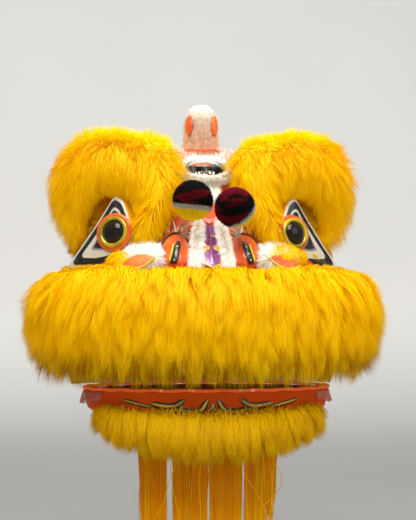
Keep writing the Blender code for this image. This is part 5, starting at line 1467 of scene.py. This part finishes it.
def mirror_bed_surface(u, v):
    """A rounded collar round the mirror, in the mirror's own plane."""
    turn = 2 * math.pi * u
    section = 2 * math.pi * v
    radius = MIRROR_RADIUS + MIRROR_RIM_WIRE + 0.0062 + 0.0056 * np.cos(section)
    height = -0.006 + 0.0085 * np.sin(section)
    local = np.stack([radius * np.cos(turn), radius * np.sin(turn), height], -1)
    return moved(local, mirror_matrix)


def mirror_bed_comb(root, normal, u, v):
    away = unit(root - np.array(mirror_matrix[:3, 3]))
    return normal + 0.3 * away, away * 0.9 + normal * 0.4


u = np.linspace(0, 1, 64, endpoint=False)[:, None] + np.zeros((1, 14))
v = np.linspace(0, 1, 14, endpoint=False)[None] + np.zeros((64, 1))
collar_grid = mirror_bed_surface(u.ravel(), v.ravel()).reshape(64, 14, 3)
collar = grid_object("mirror_collar", collar_grid, [white_backing], round_rows=True)
collar_pile = fur(
    "mirror_collar_pile", mirror_bed_surface, ((0, 1), (-0.15, 0.42)), 3400, (44, 3), 0.0105,
    mirror_bed_comb, white_fur, width=0.0009, steps=2, pull=0.35, sway=0.15, seed=91,
)
dress((collar, collar_pile), "head", "mirror_fur")

patch_surface = pad_surface(*FOREHEAD_FUR)


def patch_comb(root, normal, u, v):
    return normal + DOWN * 0.4, DOWN + normal * 0.25


patch_bed = core("forehead_bed", patch_surface, ((0.02, 0.98), (0, 1)), (14, 28), white_backing)
patch_pile = fur(
    "forehead_pile", patch_surface, ((0.02, 0.98), (0.0, 0.5)), 1800, (8, 8), 0.016, patch_comb,
    white_fur, width=0.0010, steps=2, seed=95, pull=0.45,
    clear=[(POMPOMS["left"], POMPOM_RADIUS), (POMPOMS["right"], POMPOM_RADIUS)],
)


def crown_surface(u, v):
    """The shell's crown from above the mirror to the horn's foot, its height read from the dome."""
    half, front, back = CROWN_FUR
    x = half * (2 * np.asarray(u) - 1)
    y = front + (back - front) * np.asarray(v)
    levels = np.linspace(0.40, SHELL_RIM + SHELL_HEIGHT - 1e-4, 60)
    z = [np.interp(depth, shell_front(across, levels), levels) for across, depth in zip(x.flat, y.flat)]
    return np.stack([x, y, np.reshape(z, x.shape) + 0.001], -1)


def crown_comb(root, normal, u, v):
    return np.tile([0.0, -0.3, 1.0], (len(root), 1)), np.tile([0.0, -0.8, 0.3], (len(root), 1))


crown_pile = fur(
    "crown_pile", crown_surface, ((0.0, 1.0), (0.0, 1.0)), 2400, (12, 8), 0.014, crown_comb,
    white_fur, width=0.0010, steps=2, seed=97, pull=0.45,
)
dress((patch_bed, patch_pile, crown_pile), "head", "forehead_fur")

# Horn: a thumb of padded white pile flushed with pink and orange, an orange leaf let into each
# side, and an orange ribbon round its foot.
HORN_Y = -0.012
HORN_RADIUS = 0.038
HORN_TOP = 0.590
HORN_ROOT = 0.440
HORN_LEAF_LENGTH = 0.046
HORN_LEAF_WIDTH = 0.017
HORN_LEAF_ANGLE = 48.0
HORN_PILE = 0.0075
RIBBON_HEIGHT = 0.487
RIBBON_WIRE = 0.0026

# The pile glows with its own colour: painted light that lifts the shaded lower horn.
horn_fur, tree, shader = new_material("flushed_white_pile", 0.7, Emission_Strength=0.16)
strand = strand_of(tree)
spot = axes_of(tree)
centred = calc(tree, "MULTIPLY", calc(tree, "ABSOLUTE", calc(tree, "SUBTRACT", spot[0], 0.004)), 30.0)
low = step_up(tree, spot[2], 0.585, 0.500)
flush = calc(tree, "MULTIPLY", step_up(tree, centred, 1.05, 0.15), low)
flush = calc(tree, "MULTIPLY", flush, calc(tree, "ADD", noise(tree, 50.0, 2.0), 0.35), clamp=True)
pale = between(tree, strand[0], (0.86, 0.74, 0.58), (0.95, 0.90, 0.80))
peach = between(tree, strand[0], (0.95, 0.56, 0.36), (1.0, 0.76, 0.56))
pile_colour = between(tree, step_up(tree, spot[2], 0.570, 0.500), pale, peach)
pile_colour = between(tree, calc(tree, "MULTIPLY", flush, 0.75), pile_colour, (0.80, 0.26, 0.10))
mark = calc(tree, "ABSOLUTE", calc(tree, "SUBTRACT", spot[0], -0.002))
broken = step_up(tree, noise(tree, 60.0), 0.50, 0.62)
mark = calc(tree, "MULTIPLY", step_up(tree, mark, 0.006, 0.001), broken)
pile_colour = between(tree, calc(tree, "MULTIPLY", mark, low), pile_colour, (0.62, 0.05, 0.03))
colour_with(tree, shader, pile_colour, glow=True)


def horn_surface(u, v):
    """A thumb: a straight shaft that ends in half a ball."""
    turn = 2 * math.pi * v
    radius_core = HORN_RADIUS - 0.004
    shaft = HORN_TOP - 0.005 - radius_core
    z = HORN_ROOT + u * (HORN_TOP - 0.005 - HORN_ROOT)
    over = np.clip((z - shaft) / radius_core, 0, 0.9999)
    radius = radius_core * np.sqrt(1 - over**2) * (1.0 + 0.03 * np.sin(3 * turn) * (1 - over))
    radius = radius * (1.0 - 0.07 * u + 0.10 * np.clip(0.55 - u, 0, 1))
    return np.stack([radius * np.cos(turn), HORN_Y + radius * np.sin(turn), z], -1)


leaf_places = []
leaf_matrices = []
dome_height = HORN_TOP - HORN_RADIUS
for side in (-1, 1):
    turn = math.radians(HORN_LEAF_ANGLE)
    out = np.array([side * math.sin(turn), -math.cos(turn), 0.0])
    at = np.array([0.0, HORN_Y, dome_height - 0.012]) + out * (HORN_RADIUS - 0.0005)
    upright = np.array(Matrix.Rotation(math.pi / 2, 4, "Z"))
    leaf_matrices.append(facing(at, side * HORN_LEAF_ANGLE, 0.0) @ upright)
    leaf_places += [(at + (0, 0, h), 0.0085 - abs(h) * 0.12) for h in (-0.014, -0.007, 0.0, 0.007, 0.014)]


def horn_comb(root, normal, u, v):
    return normal, normal * 0.8 + np.array([[0.0, 0.0, 0.55]])


def horn_length(root, normal, u, v):
    return HORN_PILE * (1.55 - 0.65 * u)


horn_core = core("horn_core", horn_surface, ((0, 0.9985), (0, 1)), (40, 40), white_backing)
horn_pile = fur(
    "horn_pile", horn_surface, ((0.08, 0.998), (0, 1)), 8600, (26, 26), horn_length, horn_comb, horn_fur,
    width=0.0009, steps=2, pull=0.3, sway=0.14, seed=101, clear=leaf_places,
)
dress((horn_core, horn_pile), "head", "horn")
for label, matrix in zip(("left", "right"), leaf_matrices):
    outline = leaf_loop(HORN_LEAF_LENGTH, HORN_LEAF_WIDTH, 48)
    leaf = plate("horn_leaf_foil_" + label, outline, matrix, -0.004, 0.0022, 0.0016, [orange_foil])
    dress([leaf], "head", "horn_leaf_" + label)

# The cloth glows with its own colour: painted light that lifts the jaw's binding in the lip's shade and the
# horn's ribbon.
ribbon_cloth, tree, shader = new_material("orange_ribbon_cloth", 0.6, Emission_Strength=0.22)
weave = noise(tree, 260.0, 2.0, (1.0, 1.0, 3.0))
dye_and_painted_light = between(tree, weave, (0.84, 0.070, 0.010), (1.00, 0.20, 0.03))
dye_and_painted_light = between(tree, step_up(tree, noise(tree, 90.0, 2.0), 0.61, 0.70), dye_and_painted_light, (1.0, 0.52, 0.26))
colour_with(tree, shader, dye_and_painted_light, glow=True)
bump(tree, shader, weave, 0.5, 0.0008)
turn = np.linspace(0, 2 * math.pi, 96, endpoint=False)
ribbon_radius = HORN_RADIUS + RIBBON_WIRE + 0.0006 * np.sin(11 * turn)
route = np.stack([
    ribbon_radius * np.cos(turn), HORN_Y + ribbon_radius * np.sin(turn),
    RIBBON_HEIGHT + 0.0012 * np.sin(5 * turn),
], 1)
ribbon = tube(
    "horn_ribbon_wrap", route, RIBBON_WIRE * (1 + 0.12 * np.sin(17 * turn)), [ribbon_cloth], 12, True
)
dress([ribbon], "head", "horn_ribbon")

# Jaw: a shallow papier-mache tray hung on the hand bar, painted red with flames on its front wall
# and scrolls inside, its rim bound with orange cloth.
JAW_HALF_WIDTH = 0.246
JAW_FRONT = 0.277
JAW_REAR = 0.036
JAW_RIM = -0.010
JAW_DEPTH = 0.052
JAW_WALL = 0.002
JAW_LEVELS = np.array([
    # outline, depth
    (1.000, 0.00),
    (0.970, 0.68),
    (0.900, 0.93),
    (0.620, 1.00),
    (0.050, 1.00),
])
BINDING_WIRE = 0.0032
JAW_MIDDLE = (JAW_FRONT + JAW_REAR) / 2
JAW_HALF_DEPTH = (JAW_FRONT - JAW_REAR) / 2


def jaw_bowl(inset):
    """Rings of the tray's bowl from its rim down to the middle of its floor."""
    level = np.linspace(0, len(JAW_LEVELS) - 1, 30)[:, None]
    outline = np.interp(level, np.arange(len(JAW_LEVELS)), JAW_LEVELS[:, 0])
    drop = np.interp(level, np.arange(len(JAW_LEVELS)), JAW_LEVELS[:, 1])
    turn = np.linspace(0, 2 * math.pi, 120, endpoint=False)
    x = (JAW_HALF_WIDTH * outline - inset) * np.sin(turn)
    y = -JAW_MIDDLE - (JAW_HALF_DEPTH * outline - inset) * np.cos(turn)
    z = JAW_RIM - JAW_DEPTH * drop + inset * np.clip(level - 0.8, 0, 1) + 0 * x
    return np.stack([x, y, z], -1)


jaw_paint, tree, shader = new_material("jaw_red_lacquer", 0.5, Specular_IOR_Level=0.1)
mottle = noise(tree, 20.0, 4.0)
bright = between(tree, mottle, (0.74, 0.058, 0.001), (0.95, 0.130, 0.001))
colour_with(tree, shader, bright)
bump(tree, shader, noise(tree, 90.0, 3.0), 0.25, 0.0008)

jaw_inside, tree, shader = new_material("jaw_inside_paint", 0.4, Coat_Weight=0.2)
spot = axes_of(tree)
aside = calc(tree, "ABSOLUTE", calc(tree, "ADD", spot[0], 0.005))
panel = step_up(tree, calc(tree, "SINE", calc(tree, "MULTIPLY", aside, 62.0)), -0.25, 0.25)
mottle = noise(tree, 18.0, 3.0)
dull = between(tree, mottle, (0.12, 0.07, 0.02), (0.30, 0.15, 0.035))
warm = between(tree, mottle, (0.26, 0.022, 0.006), (0.50, 0.060, 0.012))
floor_paint = between(tree, panel, dull, warm)
floor_paint = between(tree, step_up(tree, aside, 0.024, 0.020), floor_paint, (0.42, 0.045, 0.010))
colour_with(tree, shader, floor_paint)

bowl, lining = jaw_bowl(0.0), jaw_bowl(JAW_WALL)
rows, columns = bowl.shape[:2]
count = rows * columns
quads = grid_faces(rows, columns)
ring = np.arange(columns)
after = (ring + 1) % columns
rim = np.stack([ring, after, count + after, count + ring], 1)
last = (rows - 1) * columns
points = np.concatenate([
    bowl.reshape(-1, 3), lining.reshape(-1, 3), bowl[-1].mean(0)[None], lining[-1].mean(0)[None]
])
below = np.stack([last + after, last + ring, np.full(columns, 2 * count)], 1)
above = np.stack([count + last + ring, count + last + after, np.full(columns, 2 * count + 1)], 1)
jaw_tray = mesh_object(
    "jaw_bowl", points, np.concatenate([quads[:, ::-1], rim[:, ::-1], quads + count]),
    np.concatenate([below[:, ::-1], above[:, ::-1]]), [jaw_paint, jaw_inside],
)
inside = np.zeros(len(jaw_tray.data.polygons), np.int32)
inside[len(quads) + len(rim):2 * len(quads) + len(rim)] = 1
inside[-len(above):] = 1
jaw_tray.data.polygons.foreach_set("material_index", inside)
dress([jaw_tray], "jaw", "jaw_tray")

turn = np.linspace(0, 2 * math.pi, 160, endpoint=False)
route = np.stack([
    JAW_HALF_WIDTH * np.sin(turn), -JAW_MIDDLE - JAW_HALF_DEPTH * np.cos(turn),
    JAW_RIM + BINDING_WIRE + 0.0006 * np.sin(23 * turn),
], 1)
binding = tube(
    "jaw_binding_wrap", route, BINDING_WIRE * (1 + 0.08 * np.sin(41 * turn)), [ribbon_cloth], 10, True
)
dress([binding], "jaw", "jaw_binding")


def jaw_wall_front(x, z):
    """Depth of the tray's front wall, an ellipse whose size follows the bowl's levels."""
    drop = np.clip((JAW_RIM - z) / JAW_DEPTH, 0, 1)
    outline = np.interp(drop, JAW_LEVELS[:, 1], JAW_LEVELS[:, 0])
    share = np.clip(np.abs(x) / (JAW_HALF_WIDTH * outline), 0, 0.999)
    return -JAW_MIDDLE - JAW_HALF_DEPTH * outline * np.sqrt(1 - share**2)


# Flames along the lower edge of the front wall, each told as its route across and up.
JAW_FLAMES = [
    ([(0.118, -0.031), (0.095, -0.036), (0.072, -0.0355), (0.052, -0.023)], 0.0125),
    ([(0.078, -0.042), (0.050, -0.0465), (0.024, -0.045), (0.0085, -0.022)], 0.0140),
    ([(0.170, -0.025), (0.145, -0.032), (0.112, -0.039)], 0.0075),
    ([(0.010, -0.047), (0.002, -0.040), (0.002, -0.030)], 0.0070),
]
for label, side in SIDES:
    wide = brushwork(
        "jaw_flames_black_" + label, JAW_FLAMES, jaw_wall_front, side, black_paint, 0.0010
    )
    fine = [(route, 0.42 * width) for route, width in JAW_FLAMES]
    gilt = brushwork("jaw_flames_gold_" + label, fine, jaw_wall_front, side, gold_rim, 0.0016)
    dress((wide, gilt), "jaw")


def jaw_floor(x, y):
    """Height of the tray's floor inside, from its distance to the middle."""
    reach = np.sqrt((x / JAW_HALF_WIDTH) ** 2 + ((y + JAW_MIDDLE) / JAW_HALF_DEPTH) ** 2)
    drop = np.interp(reach, JAW_LEVELS[::-1, 0], JAW_LEVELS[::-1, 1])
    return JAW_RIM - JAW_DEPTH * drop + JAW_WALL


JAW_SCROLLS = [
    ([(0.020, -0.245), (0.034, -0.232), (0.052, -0.246), (0.072, -0.238), (0.088, -0.222)], 0.010),
    ([(0.024, -0.215), (0.040, -0.200), (0.060, -0.214), (0.084, -0.196)], 0.010),
    ([(0.110, -0.232), (0.125, -0.212), (0.150, -0.206), (0.160, -0.186)], 0.009),
    ([(0.022, -0.070), (0.024, -0.140), (0.022, -0.190)], 0.006),
]
for label, side in SIDES:
    parts, faces = [], []
    for route, width in JAW_SCROLLS:
        grid = painted_line(route, width, lambda x, y: 0 * x, 1, 0.0008)
        flat = np.stack([side * grid[..., 0], grid[..., 2], grid[..., 1]], -1)
        flat[..., 2] = jaw_floor(flat[..., 0], flat[..., 1]) + 0.0005 - 1.0 * flat[..., 2]
        quads = grid_faces(*flat.shape[:2]) + sum(len(part) for part in parts)
        faces.append(quads if side > 0 else quads[:, ::-1])
        parts.append(flat.reshape(-1, 3))
    scrolls = mesh_object(
        "jaw_scrolls_" + label, np.concatenate(parts), np.concatenate(faces), [], [black_paint]
    )
    dress([scrolls], "jaw")

# Chin fur: a band of the yellow shag under the jaw's front wall, falling straight in the middle
# and swept out to both sides at its ends.
CHIN_REACH = 65.0
CHIN_TOP = -0.056
CHIN_RISE = 0.020
CHIN_STRANDS = 19500
CHIN_LENGTH = 0.066


def jaw_arc(angle, outline):
    """Plan of the jaw's front wall at a share of the rim's outline."""
    return arc_at(angle, JAW_HALF_WIDTH * outline, JAW_MIDDLE + JAW_HALF_DEPTH * outline, -JAW_MIDDLE)


def chin_surface(u, v):
    """A narrow roll along the foot of the front wall, rising towards its ends."""
    point, out = jaw_arc(CHIN_REACH * u, 0.955)
    full = np.sqrt(np.maximum(0.03, 1 - np.abs(u) ** 7))
    turn = 2 * math.pi * v
    offset = 0.004 + 0.0095 * np.cos(turn) * full
    z = CHIN_TOP - 0.014 + CHIN_RISE * u**2 + 0.0150 * np.sin(turn) * full
    return point + out * offset[..., None] + np.stack([0 * z, 0 * z, z], -1)


def chin_comb(root, normal, u, v):
    """Out over the roll and down; the ends sweep sideways."""
    end = np.clip((np.abs(u[:, None]) - 0.45) / 0.5, 0, 1)
    sideways = np.sign(u)[:, None] * np.array([[1.0, 0.25, 0.0]])
    hang = DOWN * (1 - 0.20 * end) + sideways * (0.22 * end) + normal * 0.05
    return normal * 0.8 + hang * 0.45 + np.array([[0.0, -0.25, 0.0]]), hang


def chin_length(root, normal, u, v):
    return CHIN_LENGTH * (1.0 - 0.52 * np.abs(u) ** 2.2)


chin_bed = core("chin_bed", chin_surface, ((-1, 1), (0, 1)), (90, 18), yellow_backing)
chin_shag = fur(
    "chin_shag", chin_surface, ((-1, 1), (-0.30, 0.42)), CHIN_STRANDS, (60, 3), chin_length,
    chin_comb, chin_shaded_fur, width=0.0014, bend=0.5, seed=111,
)
dress((chin_bed, chin_shag), "jaw", "jaw_fur")

# Beard: long flat strands of orange-yellow ribbon hair, fused in strips under the jaw, with a few
# stray ones that cross or loop out.
BEARD_WIDTH = 0.280
BEARD_BOTTOM = -0.452
BEARD_TOP = JAW_RIM - 0.95 * JAW_DEPTH
BEARD_LENGTH = BEARD_TOP - BEARD_BOTTOM
BEARD_INSET = 0.056
BEARD_BOW = 0.024
BEARD_THICK = 0.011
BEARD_STRIPS = np.array([
    # middle, width, length
    (-0.445, 0.110, 0.93),
    (-0.365, 0.120, 1.00),
    (-0.210, 0.105, 0.97),
    (-0.140, 0.115, 0.99),
    (-0.070, 0.100, 0.96),
    (0.045, 0.105, 0.95),
    (0.110, 0.115, 1.00),
    (0.180, 0.100, 0.97),
    (0.300, 0.105, 0.90),
    (0.372, 0.110, 0.82),
    (0.450, 0.080, 0.58),
])
BEARD_STRANDS = 5200

# The beard's colour also drives a faint glow: painted light.
beard_hair = fur_material(
    "beard_hair", (0.72, 0.20, 0.001), (0.96, 0.33, 0.001), (1.00, 0.44, 0.002),
    (0.50, 0.13, 0.001), (1.00, 0.66, 0.01), Emission_Strength=0.04,
)
random = np.random.default_rng(121)
strip = random.choice(len(BEARD_STRIPS), BEARD_STRANDS, p=BEARD_STRIPS[:, 1] / BEARD_STRIPS[:, 1].sum())
middle, wide, long = BEARD_STRIPS[strip].T
inside = random.uniform(-0.5, 0.5, BEARD_STRANDS)
top_x = (middle + inside * wide * 1.06) * BEARD_WIDTH
low_x = (middle + inside * wide * 0.58) * BEARD_WIDTH * 0.95 + random.normal(0, 0.0022, BEARD_STRANDS)
steps = 6
share = np.linspace(0, 1, steps + 1)
reach = BEARD_LENGTH * long * (0.97 - 0.22 * (2 * np.abs(inside)) ** 2)
reach = reach * random.uniform(0.86, 1.0, BEARD_STRANDS)
wave = random.normal(0, 0.0016, (BEARD_STRANDS, 1)) * np.sin(
    share * random.uniform(3, 7, (BEARD_STRANDS, 1)) + random.uniform(0, 6, (BEARD_STRANDS, 1))
)
x = top_x[:, None] * (1 - share) + low_x[:, None] * share + wave
depth = random.uniform(-0.5, 0.5, BEARD_STRANDS)[:, None] * BEARD_THICK * (1 - 0.3 * share)
y = -(JAW_FRONT - BEARD_INSET) + BEARD_BOW * (2 * x / BEARD_WIDTH) ** 2 + depth
z = BEARD_TOP - reach[:, None] * share
path = np.stack([x, y, z], -1)
normal = np.tile([0.0, -1.0, 0.0], (BEARD_STRANDS, 1))
strip_tone = random.uniform(0, 1, len(BEARD_STRIPS) * 5)
tone = np.clip(0.4 * strip_tone[strip * 5 + ((inside + 0.5) * 4.99).astype(int)]
               + 0.6 * random.uniform(0, 1, BEARD_STRANDS), 0, 1)
tone = np.where(random.uniform(0, 1, BEARD_STRANDS) < 0.05, 1.9, tone)
hair = ribbons(
    "beard_hair_strips", path, normal, random.uniform(0.0012, 0.0021, BEARD_STRANDS), tone,
    random.normal(0, 0.4, BEARD_STRANDS), beard_hair, shoulder=0.5,
)
STRAYS = [
    # route across and down, width
    ([(0.122, -0.150), (0.136, -0.166), (0.143, -0.185), (0.138, -0.205), (0.120, -0.222),
      (0.105, -0.236)], 0.0016),
    ([(0.118, -0.150), (0.122, -0.190), (0.121, -0.240), (0.110, -0.290), (0.112, -0.340)], 0.0016),
    ([(0.060, -0.160), (0.078, -0.190), (0.100, -0.225), (0.108, -0.250)], 0.0014),
    ([(-0.066, -0.150), (-0.080, -0.185), (-0.092, -0.230), (-0.112, -0.270), (-0.118, -0.330)], 0.0014),
    ([(-0.020, -0.150), (-0.021, -0.200), (-0.019, -0.260)], 0.0018),
    ([(-0.078, -0.150), (-0.072, -0.200), (-0.060, -0.260), (-0.064, -0.320)], 0.0014),
]
beard_pieces = [hair]
for number, (route, width) in enumerate(STRAYS):
    route = np.array(route)
    at = np.linspace(0, len(route) - 1, 40)
    x, z = eased(route[:, 0], at), eased(route[:, 1], at)
    y = -(JAW_FRONT - BEARD_INSET) + BEARD_BOW * (2 * x / BEARD_WIDTH) ** 2 - 0.009
    beard_pieces.append(
        tube(f"beard_stray_{number}", np.stack([x, y, z], 1), width / 2, [yellow_fur], 5)
    )
dress(beard_pieces, "jaw", "beard")

# Gauze: a rumpled scrap of open tan and pink gauze on each end of the jaw.
GAUZE_ANGLES = (58.0, 122.0)
GAUZE_DROP = 0.024

gauze, tree, shader = new_material("tan_gauze", 0.8)
threads = [
    step_up(tree, calc(tree, "SINE", calc(tree, "MULTIPLY", way, 2600.0)), -0.35, 0.55)
    for way in axes_of(tree)[1:3]
]
open_weave = calc(tree, "MAXIMUM", *threads)
colour_with(tree, shader, between(tree, noise(tree, 30.0), (0.72, 0.12, 0.05), (0.85, 0.40, 0.26)))
tree.links.new(calc(tree, "ADD", calc(tree, "MULTIPLY", open_weave, 0.4), 0.2), shader.inputs["Alpha"])
for label, side in SIDES:
    share = np.linspace(0, 1, 60)[:, None]
    drop = np.linspace(0, 1, 12)[None]
    angle = GAUZE_ANGLES[0] + share * (GAUZE_ANGLES[1] - GAUZE_ANGLES[0])
    point, out = jaw_arc(angle + 0 * drop, 1.0)
    fold = 0.0035 * drop * (1 + np.sin(26.0 * share + 1.5 * drop)) * np.sin(math.pi * share)
    fold = fold + 0.0012 * np.sin(61.0 * share) * drop
    low = GAUZE_DROP * (0.45 + 0.55 * np.sin(math.pi * share) ** 0.6) * (1 + 0.10 * np.sin(37.0 * share))
    z = JAW_RIM - 0.003 - drop * low
    place = point + out * (0.0016 + fold)[..., None]
    place[..., 2] = z
    place = place * (side, 1.0, 1.0)
    rows, columns = place.shape[:2]
    scrap = mesh_object(
        "corner_gauze_scrap_" + label, place.reshape(-1, 3), grid_faces(rows, columns, False), [], [gauze]
    )
    wall = scrap.modifiers.new("Cloth", "SOLIDIFY")
    wall.thickness = 0.0005
    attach(scrap, "jaw")
    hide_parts("corner_gauze_" + label)
